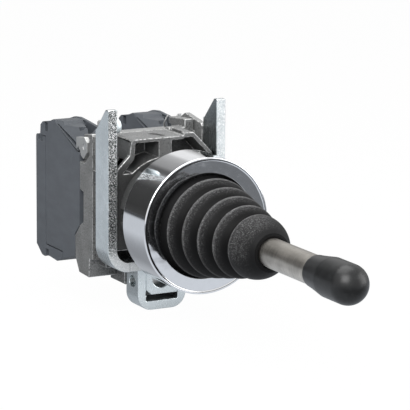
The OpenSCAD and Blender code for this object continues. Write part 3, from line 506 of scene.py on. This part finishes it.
def lever_finish(colours):
    """Turned steel: fine rings round the rod, brushed streaks along it and painted shade along its
    top.
    """
    f = Finish("turned steel")
    place = f.place()
    rings = f.noise(f.scale(place, (0.12, 5.0, 0.12)), 0.7, detail=4.0, roughness=0.7)
    streaks = f.noise(f.scale(place, (2.0, 0.14, 2.0)), 0.6, detail=3.0, roughness=0.6)
    stain = f.noise(place, 5.0, detail=3.0)
    pattern = stain.rise(0.3, 0.7) * 0.35 + rings.rise(0.36, 0.64) * 0.5
    skin = f.shades(pattern, colours.lever, 0.70, 1.45)
    # Painted shade: the rod's upward faces are darkened in the colour.
    dull = f.facing("Z").rise(0.50, 0.95) * (0.35 + rings.rise(0.45, 0.60) * 0.35)
    brushed = f.bump(streaks, strength=0.12, distance=0.02)
    return f.surface(
        Base_Color=f.mix(dull, skin, tint(colours.lever, 0.34)),
        Metallic=1.0,
        Roughness=0.24 + rings * 0.14 + streaks * 0.12,
        Normal=f.bump(rings, strength=0.25, distance=0.02, normal=brushed),
    )


def casting_finish(name, base, sand=1.0, low=None):
    """Die-cast zinc with a sandy skin, darker in its grain's hollows, its bright grain stronger on
    upward faces as painted light, and painted shade below low.
    """
    f = Finish(name)
    place = f.place()
    cloud = f.noise(place, 6.0, detail=3.0)
    grain = f.noise(place, 0.40, detail=5.0, roughness=0.72)
    pits = f.noise(place, 0.8, detail=2.0).rise(0.30, 0.44)
    glint = f.noise(place, 0.22, detail=2.0).rise(0.58, 0.72)
    # Painted light: the grain's bright specks are stronger on upward faces.
    painted_light = f.facing("Z").rise(0.3, 0.9)
    body = f.shades(cloud.rise(0.25, 0.75), base, 0.68, 1.15)
    skin = f.mix(grain.rise(0.40, 0.66) * (0.55 + painted_light * 0.45), body, tint(base, 2.4))
    # Painted shade on the casting's low part, below low.
    if low is not None:
        painted_low_shade = f.part(place, "Z").rise(low, low - 4.0)
        skin = f.mix(painted_low_shade * 0.75, skin, tint(base, 0.35))
    pitted = f.bump(pits, strength=0.4 * sand, distance=0.07)
    return f.surface(
        Base_Color=f.mix(pits * -0.5 + 0.5, skin, tint(base, 0.30)),
        Metallic=0.5 + glint * 0.35,
        Roughness=0.48 + cloud * 0.12 - glint * 0.16,
        Normal=f.bump(grain, strength=0.65 * sand, distance=0.11, normal=pitted),
    )


def rubbed_finish(colours):
    """A casting's edge that handling has rubbed bright, with dark pits left in it.

    The carrier's slanted channel gets painted shade.
    """
    f = Finish("rubbed casting")
    place = f.place()
    x, y, z = f.axes(place)
    # Painted shade in the carrier's slanted channel, a recess.
    groove_shade = x.within(*GROOVE_X) * y.within(*GROOVE_Y) * z.rise(*GROOVE_Z)
    worn = f.noise(place, 0.9, detail=5.0, roughness=0.75).rise(0.38, 0.58)
    grain = f.noise(place, 0.3, detail=3.0, roughness=0.7)
    skin = f.shades(worn, colours.rubbed, 0.20, 1.05)
    return f.surface(
        Base_Color=f.mix(groove_shade * 0.9, skin, tint(colours.rubbed, 0.08)),
        Metallic=0.75,
        Roughness=0.38 + grain * 0.14 - worn * 0.04,
        Normal=f.bump(grain, strength=0.4, distance=0.08),
    )


def zinc_finish(colours, sheared):
    """Zinc plate on bent strip, with smooth broad faces.

    Sheared plate, the strap's, has granular edges towards -Y and Y, torn most on the left leg,
    and painted shade on the inner face of its right leg. The yoke's plate has painted light on
    its faces towards -Y and Y, and painted shade inside.
    """
    f = Finish("zinc plate" if sheared else "bright zinc")
    place = f.place()
    x, y, z = f.axes(place)
    cloud = f.noise(place, 6.0, detail=4.0, roughness=0.5)
    brush = f.noise(f.scale(place, (1.0, 2.6, 0.12)), 1.2, detail=4.0, roughness=0.6)
    skin = f.shades(cloud.rise(0.25, 0.8), colours.zinc, 0.90, 1.12)
    rough = 0.18 + cloud * 0.10 + brush * 0.08
    normal = f.bump(brush, strength=0.06, distance=0.02)
    edge = abs(f.facing("Y")).rise(0.80, 0.95)
    if sheared:
        upright = z.rise(*STRAP_BEND)
        # Painted shade on the inner face of the right leg.
        inner = f.facing("X").rise(-0.90, -0.97) * x.rise(LEG_INSIDE - 0.5, LEG_INSIDE)
        left = x.rise(-LEG_INSIDE - 0.6, -LEG_INSIDE - 1.0)
        grit = f.noise(place, 0.30, detail=3.0, roughness=0.76)
        coarse = f.noise(place, 0.8, detail=2.0)
        torn = edge * (0.16 + upright * left * 0.84)
        skin = f.mix(inner, skin, tint(colours.zinc, 0.42))
        skin = f.mix(edge * (1.0 - upright) * 0.7, skin, tint(colours.zinc, 1.4))
        skin = f.mix(torn * grit.rise(0.570, 0.500), skin, tint(colours.zinc, 0.05))
        skin = f.mix(edge * grit.rise(0.54, 0.58) * 0.9, skin, tint(colours.zinc, 1.7))
        rough = rough + edge * 0.06
        metal = 1.0 - edge * 0.5
        torn_height = edge * (grit + coarse * 0.6)
        normal = f.bump(torn_height, strength=0.8, distance=0.15, normal=normal)
    else:
        wall, floor = YOKE_HALF_W - YOKE_WALL, YOKE_BOTTOM + YOKE_WALL
        # Where painted shade falls, inside the yoke's walls.
        inside = (
            abs(x).rise(wall + 0.05, wall - 0.05)
            * y.rise(YOKE_FRONT + 0.8, YOKE_FRONT + 1.6)
            * z.rise(floor - 0.2, floor)
            * z.rise(YOKE_TOP + 0.2, YOKE_TOP)
        )
        # Painted light on the yoke's faces towards -Y and Y, then painted shade inside it.
        skin = f.mix(edge * 0.8, skin, tint(colours.zinc, 1.22))
        skin = f.mix(inside * 0.85, skin, tint(colours.zinc, 0.20))
        rough = rough + inside * 0.2
        metal = 1.0 - edge * 0.35
    return f.surface(Base_Color=skin, Metallic=metal, Roughness=rough, Normal=normal)


def block_finish(colours):
    """Blue-grey moulded plastic with a fine spark-eroded texture, faint flow and painted shade on
    its top.
    """
    f = Finish("moulded block")
    place = f.place()
    cloud = f.noise(place, 9.0, detail=2.0)
    spark = f.noise(place, 0.22, detail=3.0, roughness=0.6)
    flow = f.noise(f.scale(place, (1.0, 0.35, 1.0)), 3.2, detail=4.0, roughness=0.6)
    rub = f.noise(f.scale(place, (1.0, 0.5, 0.18)), 1.4, detail=4.0, roughness=0.7)
    rub = rub.rise(0.60, 0.78)
    body = f.shades(cloud * 0.5 + flow.rise(0.35, 0.68) * 0.5, colours.block, 0.86, 1.12)
    # Painted shade: upward faces are darker in the colour.
    body = f.mix(f.facing("Z").rise(0.2, 0.8) * 0.6, body, tint(colours.block, 0.45))
    sunken = f.bump(cloud, strength=0.05, distance=0.2)
    return f.surface(
        Base_Color=f.mix(rub * 0.3, body, tint(colours.block, 1.5)),
        Roughness=0.50 + spark * 0.12 - rub * 0.08,
        Specular_IOR_Level=0.5,
        Normal=f.bump(spark, strength=0.22, distance=0.03, normal=sunken),
    )


def pale_finish(colours):
    """Unfilled off-white plastic."""
    f = Finish("pale plastic")
    place = f.place()
    cloud = f.noise(place, 3.0)
    return f.surface(
        Base_Color=f.shades(cloud, colours.pale, 0.92, 1.05),
        Roughness=0.38 + cloud * 0.1,
        Normal=f.bump(f.noise(place, 0.3), strength=0.08, distance=0.02),
    )


def bright_metal_finish(name, base, rough=0.26):
    """Bright worked metal with fine scratches and faint stains."""
    f = Finish(name)
    place = f.place()
    stain = f.noise(place, 2.2, detail=4.0, roughness=0.6)
    scratch = f.noise(f.scale(place, (3.0, 0.4, 1.0)), 0.5, detail=3.0, roughness=0.7)
    return f.surface(
        Base_Color=f.shades(stain, base, 0.82, 1.12),
        Metallic=1.0,
        Roughness=rough + stain * 0.12 + scratch * 0.08,
        Normal=f.bump(scratch, strength=0.12, distance=0.02),
    )


# Making pieces


def spin(bm, geometry, steps, **options):
    """Spins some geometry about the Y axis."""
    bmesh.ops.spin(
        bm, geom=geometry, cent=(0.0, 0.0, 0.0), axis=(0.0, 1.0, 0.0), steps=steps, **options
    )


def finished(name, bm, smooth=True):
    """The object of a bmesh, linked to the scene."""
    mesh = bpy.data.meshes.new(name)
    bm.to_mesh(mesh)
    bm.free()
    if smooth:
        mesh.shade_smooth()
    made = bpy.data.objects.new(name, mesh)
    bpy.context.scene.collection.objects.link(made)
    return made


def turned_mesh(name, outline, steps, closed=True):
    """A mesh spun about the Y axis from an outline of (radius, y) points in mm."""
    bm = bmesh.new()
    points = [bm.verts.new((r * MM, y * MM, 0.0)) for r, y in outline]
    pairs = zip(points, points[1:] + points[:1] if closed else points[1:])
    edges = [bm.edges.new(pair) for pair in pairs]
    spin(bm, points + edges, steps, angle=2 * math.pi, use_merge=True)
    bmesh.ops.remove_doubles(bm, verts=bm.verts, dist=MERGE * MM)
    bmesh.ops.dissolve_degenerate(bm, edges=bm.edges, dist=MERGE / 2 * MM)
    bmesh.ops.recalc_face_normals(bm, faces=bm.faces)
    return finished(name, bm)


def arc(x, y, r, start, end, steps):
    """Points of an arc about (x, y), from one angle to another in degrees."""
    turns = [math.radians(start + (end - start) * i / steps) for i in range(steps + 1)]
    return [(x + r * math.cos(t), y + r * math.sin(t)) for t in turns]


def coil(name, radii, ends, turns, wire, steps=20):
    """A round wire wound about the Y axis, from one radius and y to another, in mm."""
    bm = bmesh.new()
    ring = bmesh.ops.create_circle(bm, cap_ends=False, radius=wire * MM, segments=8)["verts"]
    bmesh.ops.translate(bm, verts=ring, vec=(radii[0] * MM, ends[0] * MM, 0.0))
    edges = list({edge for vert in ring for edge in vert.link_edges})
    rise = (ends[1] - ends[0]) / (turns * steps)
    spin(
        bm,
        ring + edges,
        turns * steps,
        dvec=(0.0, rise * MM, 0.0),
        angle=2 * math.pi * turns,
        use_merge=False,
    )
    span = (ends[1] - ends[0]) * MM
    for vert in bm.verts:
        share = (vert.co.y - ends[0] * MM) / span
        flat = Vector((vert.co.x, 0.0, vert.co.z))
        flat.length = flat.length + (radii[1] - radii[0]) * MM * share
        vert.co.x, vert.co.z = flat.x, flat.z
    bmesh.ops.holes_fill(bm, edges=[e for e in bm.edges if e.is_boundary], sides=0)
    bmesh.ops.recalc_face_normals(bm, faces=bm.faces)
    return finished(name, bm)


def paint(piece, material):
    """Gives a piece one material."""
    piece.data.materials.clear()
    piece.data.materials.append(material)
    return piece


def dress(node, material, edge, angle=30.0, segments=2, rubbed=None):
    """Paints a CAD node and rounds its sharp edges by edge, in mm.

    The rounded edges have a material of their own where rubbed gives one.
    """
    piece = paint(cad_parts[node], material)
    if rubbed is not None:
        piece.data.materials.append(rubbed)
    for face in piece.data.polygons:
        face.use_smooth = True
    weld = piece.modifiers.new("join corners", "WELD")
    weld.merge_threshold = MERGE * MM
    flat = piece.modifiers.new("flat faces", "DECIMATE")
    flat.decimate_type = "DISSOLVE"
    flat.angle_limit = math.radians(0.5)
    bevel = piece.modifiers.new("worn edges", "BEVEL")
    bevel.width = edge * MM
    bevel.segments = segments
    bevel.limit_method = "ANGLE"
    bevel.angle_limit = math.radians(angle)
    bevel.use_clamp_overlap = False
    bevel.harden_normals = False
    bevel.miter_outer = "MITER_ARC"
    bevel.material = -1 if rubbed is None else 1
    even_shading(piece, 80).keep_sharp = True


def even_shading(piece, weight):
    """Adds weighted normals to a piece."""
    shade = piece.modifiers.new("even shading", "WEIGHTED_NORMAL")
    shade.weight = weight
    return shade


# Pieces


class JOYSTICK_OT_bezel(bpy.types.Operator):
    """Spins the chromed bezel with its lip and polished dish"""

    bl_idname = "joystick.bezel"
    bl_label = "Bezel"

    def execute(self, context):
        sizes, colours = context.scene.joystick_bezel, context.scene.joystick_finishes
        front, back, lip = BEZEL_FRONT, BEZEL_BACK, sizes.lip
        rim = BEZEL_R - lip - sizes.rim
        inner = sizes.bore - sizes.edge_w
        width = rim - RIM_CHAMFER - inner
        dish_y = front + DISH_STEP
        edge_y = dish_y + sizes.dish + sizes.edge_t
        land_y = back - sizes.land
        dish = [
            (inner + width * (1 - t) * (1 - DISH_CURVE * t), dish_y + sizes.dish * t)
            for t in (i / 10 for i in range(11))
        ]
        outline = (
            [(sizes.neck, back), (BEZEL_R - BEZEL_BACK_R, back)]
            + arc(BEZEL_R - BEZEL_BACK_R, back - BEZEL_BACK_R, BEZEL_BACK_R, 90, 0, 4)[1:]
            + arc(BEZEL_R - lip, front + lip, lip, 0, -90, 10)
            + [(rim + RIM_CHAMFER, front), (rim, front + RIM_CHAMFER)]
            + dish
            + [(inner, edge_y - 0.1), (inner + 0.1, edge_y), (sizes.bore, edge_y)]
            + [(sizes.bore, land_y), (sizes.neck, land_y)]
        )
        bezel = paint(turned_mesh("chromed_bezel", outline, sizes.steps), chrome_finish(colours))
        even_shading(bezel, 70)
        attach(bezel, "frame")
        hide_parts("bezel")
        return {"FINISHED"}


class JOYSTICK_OT_bellows(bpy.types.Operator):
    """Spins the rubber bellows between the neck and the lever"""

    bl_idname = "joystick.bellows"
    bl_label = "Bellows and gasket"

    @staticmethod
    def fold(sizes, y):
        """A point on the rubber's outside, as its radius and y."""
        first_y = -sizes.crest_y
        share = (first_y - y) / ((sizes.crests - 1) * sizes.pitch)
        crest = sizes.first_r + (sizes.last_r - sizes.first_r) * share
        phase = ((first_y - y) / sizes.pitch) % 1.0
        dip = (0.5 - 0.5 * math.cos(2 * math.pi * phase**sizes.skew)) ** VALLEY_CURVE
        return crest - sizes.depth * dip, y

    def execute(self, context):
        sizes, colours = context.scene.joystick_bellows, context.scene.joystick_finishes
        front, back, skirt_r = BELLOWS_FRONT, BELLOWS_BACK, sizes.skirt_r
        first_y = -sizes.crest_y
        last_y = first_y - (sizes.crests - 1) * sizes.pitch
        hole_r = ROD_R + ROD_GAP
        lip_r = hole_r + sizes.lip
        base = [
            self.fold(sizes, first_y + sizes.pitch * share)
            for share in (0.5, 0.4, 0.3, 0.2, 0.1, 0.05, 0.02)
        ]
        folds = [
            self.fold(sizes, first_y - sizes.pitch * i / FOLD_STEPS)
            for i in range(FOLD_STEPS * (sizes.crests - 1) + 1)
        ]
        nose = [
            (
                lip_r + (sizes.last_r - lip_r) * math.cos(turn) ** sizes.taper,
                last_y - (last_y - front) * math.sin(turn),
            )
            for turn in (math.radians(degrees) for degrees in range(6, 85, 6))
        ]
        outline = (
            [(skirt_r - SKIRT_WIDTH, back), (skirt_r, back - 0.2), (skirt_r, SKIRT_END)]
            + base
            + folds
            + nose
            + [(lip_r, front + 0.15), (lip_r - 0.2, front)]
            + [(hole_r, front + 0.1), (hole_r, front + ROD_GRIP)]
        )
        material = rubber_finish(colours, (sizes.first_r, sizes.last_r, first_y, last_y))
        bellows = turned_mesh("rubber_bellows", outline, BELLOWS_STEPS, closed=False)
        paint(bellows, material)
        wall = bellows.modifiers.new("rubber wall", "SOLIDIFY")
        wall.thickness = sizes.wall * MM
        wall.offset = -1.0
        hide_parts("bellows")
        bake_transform(bellows)
        dress("gasket", rubber_finish(colours), 0.15)
        return {"FINISHED"}


class JOYSTICK_OT_lever(bpy.types.Operator):
    """Spins the moulded knob and finishes the steel rod"""

    bl_idname = "joystick.lever"
    bl_label = "Lever and knob"

    def execute(self, context):
        sizes, colours = context.scene.joystick_knob, context.scene.joystick_finishes
        back, neck = KNOB_BACK, sizes.neck_r
        grip_front = KNOB_FRONT + KNOB_R
        taper_end = back - sizes.taper
        waist_y = back - KNOB_LIP
        waist = [
            (neck + (KNOB_R - 0.02 - neck) * t**KNOB_CURVE, waist_y + (taper_end - waist_y) * t)
            for t in (i / 10 for i in range(11))
        ]
        outline = (
            [(0.0, back - 0.02), (neck - 0.35, back - 0.02), (neck - 0.1, back - 0.1)]
            + waist
            + [(KNOB_R, taper_end - 0.3), (KNOB_R, (taper_end + grip_front) / 2)]
            + arc(0.0, grip_front, KNOB_R, 0, -88, 18)
            + [(0.0, KNOB_FRONT)]
        )
        knob = turned_mesh("moulded_knob", outline, KNOB_STEPS, closed=False)
        paint(knob, knob_finish(colours))
        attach(knob, "lever")
        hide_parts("knob")
        dress("lever_rod", lever_finish(colours), 0.1, angle=40)
        return {"FINISHED"}


class JOYSTICK_OT_castings(bpy.types.Operator):
    """Gives the neck, nut, carrier, collar and rocker their cast skin and softened edges"""

    bl_idname = "joystick.castings"
    bl_label = "Castings"

    def execute(self, context):
        colours = context.scene.joystick_finishes
        dark = casting_finish("dark casting", colours.carrier, low=LOW_SHADE_TOP)
        light = casting_finish("light casting", colours.collar, sand=0.75)
        rubbed = rubbed_finish(colours)
        dress("neck_sleeve", dark, 0.15)
        dress("ring_nut", dark, 0.2)
        dress("carrier", dark, 0.26, rubbed=rubbed)
        dress("collar", light, 0.26, rubbed=rubbed)
        dress("rocker", light, 0.2)
        return {"FINISHED"}


class JOYSTICK_OT_strap(bpy.types.Operator):
    """Plates the mounting strap, its stud and the clamp yoke"""

    bl_idname = "joystick.strap"
    bl_label = "Strap and yoke"

    def execute(self, context):
        colours = context.scene.joystick_finishes
        bent = {"angle": 35, "segments": 3}
        dress("mounting_strap", zinc_finish(colours, sheared=True), 0.35, **bent)
        dress("clamp_yoke", zinc_finish(colours, sheared=False), 0.3, **bent)
        dress("leg_stud", bright_metal_finish("pale stud", tint(colours.zinc, 1.1), 0.5), 0.12)
        return {"FINISHED"}


class JOYSTICK_OT_blocks(bpy.types.Operator):
    """Gives the contact blocks and their caps the moulded finish"""

    bl_idname = "joystick.blocks"
    bl_label = "Contact blocks"

    def execute(self, context):
        material = block_finish(context.scene.joystick_finishes)
        for side in SIDES:
            dress(f"block_body_{side}", material, 0.14)
            dress(f"block_cap_{side}", material, 0.14)
        return {"FINISHED"}


class JOYSTICK_OT_contacts(bpy.types.Operator):
    """Finishes the plungers, push rods, bridges and contact strips"""

    bl_idname = "joystick.contacts"
    bl_label = "Contacts"

    def execute(self, context):
        colours = context.scene.joystick_finishes
        pale = pale_finish(colours)
        strip = bright_metal_finish("contact strip", colours.contact, 0.3)
        for side in SIDES:
            dress(f"push_rod_{side}", pale, 0.08)
            dress(f"plunger_{side}", pale, 0.08)
            dress(f"bridge_{side}", strip, 0.06)
            dress(f"fixed_contacts_{side}", strip, 0.06)
        return {"FINISHED"}


class JOYSTICK_OT_fixings(bpy.types.Operator):
    """Finishes the screws, wire clamps, pins, washer, latches and release tabs"""

    bl_idname = "joystick.fixings"
    bl_label = "Screws, pins and latches"

    def execute(self, context):
        colours = context.scene.joystick_finishes
        steel = bright_metal_finish("bright steel", colours.steel)
        matt = bright_metal_finish("matt steel", tint(colours.steel, 0.85), 0.48)
        small = ["pivot_pin", "cross_pin", "spring_washer", "latch_pins", "release_tabs"]
        for side in SIDES:
            small += [f"wire_clamps_{side}"]
            small += [f"terminal_screw_{end}_{side}" for end in ("top", "bottom")]
            dress(f"latch_{side}", matt, 0.12)
        for node in small:
            dress(node, steel, 0.08)
        dress("clamp_screw", steel, 0.12)
        return {"FINISHED"}


class JOYSTICK_OT_springs(bpy.types.Operator):
    """Winds the centring, return and bridge springs between the pieces that they press"""

    bl_idname = "joystick.springs"
    bl_label = "Springs"

    @staticmethod
    def wound(name, node, form, centre_x, material):
        """A spring wound where a CAD spring is, and the y of its two ends, in metres."""
        wire = form["wire"]
        low, high = reach(node, 0, 1) + wire, reach(node, 1, 1) - wire
        spring = paint(coil(name, form["radii"], (low, high), form["turns"], wire), material)
        spring.data.transform(Matrix.Translation((centre_x * MM, 0.0, 0.0)))
        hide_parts(node)
        return spring, low * MM, high * MM

    def execute(self, context):
        steel = context.scene.joystick_finishes.steel
        material = bright_metal_finish("spring wire", steel, 0.2)
        centring, low, high = self.wound(
            "conical_spring", "centring_spring", CENTRING_SPRING, 0.0, material
        )
        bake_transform(centring)
        for side in SIDES:
            x = (reach(f"return_spring_{side}", 0, 0) + reach(f"return_spring_{side}", 1, 0)) / 2
            back, low, high = self.wound(
                f"slider_spring_{side}", f"return_spring_{side}", RETURN_SPRING, x, material
            )
            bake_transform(back)
            inner, *_ = self.wound(
                f"contact_spring_{side}", f"bridge_spring_{side}", BRIDGE_SPRING, x, material
            )
            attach(inner, f"contact_{side}")
        return {"FINISHED"}


# Stage


def area_light(name, place, side, power):
    """A soft square lamp, with its place and side in mm, turned towards the object."""
    data = bpy.data.lights.new(name, "AREA")
    data.size = side * MM
    data.energy = power
    lamp = bpy.data.objects.new(name, data)
    lamp.location = Vector(place) * MM
    turn = (Vector(LAMP_AIM) - Vector(place)).to_track_quat("-Z", "Y")
    lamp.rotation_euler = turn.to_euler()
    bpy.context.scene.collection.objects.link(lamp)


class JOYSTICK_OT_stage(bpy.types.Operator):
    """Sets the camera of the photograph, the soft lamps, the room and the floor"""

    bl_idname = "joystick.stage"
    bl_label = "Stage"

    def camera(self, settings):
        """The camera at the photograph's place and angle."""
        data = bpy.data.cameras.new("photo camera")
        data.sensor_width = 36.0
        data.lens = settings.lens
        data.clip_start, data.clip_end = 0.01, 20.0
        tilt, azimuth = math.radians(90 - settings.elevation), math.radians(settings.azimuth)
        turn = Euler((tilt, 0.0, azimuth)).to_matrix()
        turn = turn @ Matrix.Rotation(math.radians(settings.roll), 3, "Z")
        camera = bpy.data.objects.new("photo camera", data)
        camera.matrix_world = Matrix.Translation(Vector(settings.place) * MM) @ turn.to_4x4()
        bpy.context.scene.collection.objects.link(camera)
        bpy.context.scene.camera = camera

    def floor(self):
        """A floor just below the yoke.

        To the camera it is white but for the shadow. In reflections it is a cool grey by place:
        dark close to the object's left, far behind it and in a band well in front of it.
        """
        bm = bmesh.new()
        bmesh.ops.create_circle(bm, cap_ends=True, radius=FLOOR_R * MM, segments=96)
        bmesh.ops.translate(bm, verts=bm.verts, vec=(0.0, 0.0, (YOKE_BOTTOM - FLOOR_GAP) * MM))
        floor = finished("floor", bm, smooth=False)
        f = Finish("pale floor")
        place = f.place()
        camera, glossy = f.light_path()
        x, y, _ = f.axes(place)
        dull = f.mix(f.noise(place, 40.0, detail=2.0), (0.34, 0.34, 0.345), (0.37, 0.37, 0.37))
        matt = f.node("ShaderNodeBsdfDiffuse", None, {"Color": dull})
        side = x.rise(-27.0, -75.0) * 0.33 + x.rise(-24.0, -9.0) * 0.17 + 0.29
        behind = side - y.rise(380.0, 900.0) * 0.55
        front = 0.72 - y.rise(-112.0, -150.0) * 0.55 + y.rise(-215.0, -420.0) * 0.75
        mirrored = front + (behind - front) * y.rise(-6.0, 8.0)
        grey = f.mix(mirrored, (0.0, 0.0, 0.0), (0.94, 0.985, 1.05))
        shade = f.mix(glossy, (1.0, 1.0, 1.0), grey)
        glow = f.node("ShaderNodeEmission", None, {"Color": shade, "Strength": 1.03})
        share = camera * 0.95 + glossy * 0.97
        mixed = f.node("ShaderNodeMixShader", None, {0: share, 1: matt, 2: glow})
        f.node("ShaderNodeOutputMaterial", None, {0: mixed})
        paint(floor, f.material)

    def room(self, settings):
        """A white room for the camera; reflections show a ring of greys behind the object."""
        world = bpy.data.worlds.new("studio")
        world.use_nodes = True
        bpy.context.scene.world = world
        w = NodeTree(world.node_tree)
        x, y, z = w.axes(w.node("ShaderNodeTexCoord", output=0))
        camera, glossy = w.light_path()
        turn = w.math("ARCTAN2", z, x) * (0.5 / math.pi) + 0.5
        ring = w.node("ShaderNodeValToRGB", {"stops": REFLECTED_ROOM}, {0: turn})
        shade = w.mix(glossy * y.rise(0.35, 0.70), (1.0, 1.0, 1.0), ring)
        plain, mirror = settings.world, settings.mirror
        strength = plain + camera * (1.0 - plain) + glossy * (mirror - plain)
        light = w.node("ShaderNodeBackground", None, {"Color": shade, "Strength": strength})
        w.node("ShaderNodeOutputWorld", None, {0: light})

    def execute(self, context):
        scene, settings = context.scene, context.scene.joystick_stage
        scene.view_settings.view_transform = "Standard"
        self.camera(settings)
        self.floor()
        self.room(settings)
        for name, place, side in LAMPS:
            area_light(name, place, side, getattr(settings, name))
        return {"FINISHED"}


class JOYSTICK_PT_panel(bpy.types.Panel):
    """Lists the joystick's pieces and settings"""

    bl_idname = "JOYSTICK_PT_panel"
    bl_label = "Panel joystick"
    bl_space_type = "VIEW_3D"
    bl_region_type = "UI"
    bl_category = "Joystick"

    def draw(self, context):
        layout = self.layout
        for operator in OPERATORS:
            layout.operator(operator.bl_idname)
        for name, group in GROUPS.items():
            box = layout.box()
            settings = getattr(context.scene, name)
            for prop in group.__annotations__:
                box.prop(settings, prop)


GROUPS = {
    "joystick_bezel": JoystickBezelSizes,
    "joystick_bellows": JoystickBellowsSizes,
    "joystick_knob": JoystickKnobSizes,
    "joystick_finishes": JoystickFinishes,
    "joystick_stage": JoystickStageSettings,
}
OPERATORS = (
    JOYSTICK_OT_stage,
    JOYSTICK_OT_bezel,
    JOYSTICK_OT_bellows,
    JOYSTICK_OT_lever,
    JOYSTICK_OT_castings,
    JOYSTICK_OT_strap,
    JOYSTICK_OT_blocks,
    JOYSTICK_OT_contacts,
    JOYSTICK_OT_fixings,
    JOYSTICK_OT_springs,
)


def register():
    """Registers the classes and hangs the settings on the scene."""
    for cls in (*GROUPS.values(), *OPERATORS, JOYSTICK_PT_panel):
        bpy.utils.register_class(cls)
    for name, group in GROUPS.items():
        setattr(bpy.types.Scene, name, PointerProperty(type=group))


def unregister():
    """Takes the settings and classes away again."""
    for name in GROUPS:
        delattr(bpy.types.Scene, name)
    for cls in (JOYSTICK_PT_panel, *reversed(OPERATORS), *GROUPS.values()):
        bpy.utils.unregister_class(cls)


def main():
    """Runs every operator."""
    register()
    for operator in OPERATORS:
        group, name = operator.bl_idname.split(".")
        getattr(getattr(bpy.ops, group), name)()


if __name__ == "__main__":
    main()
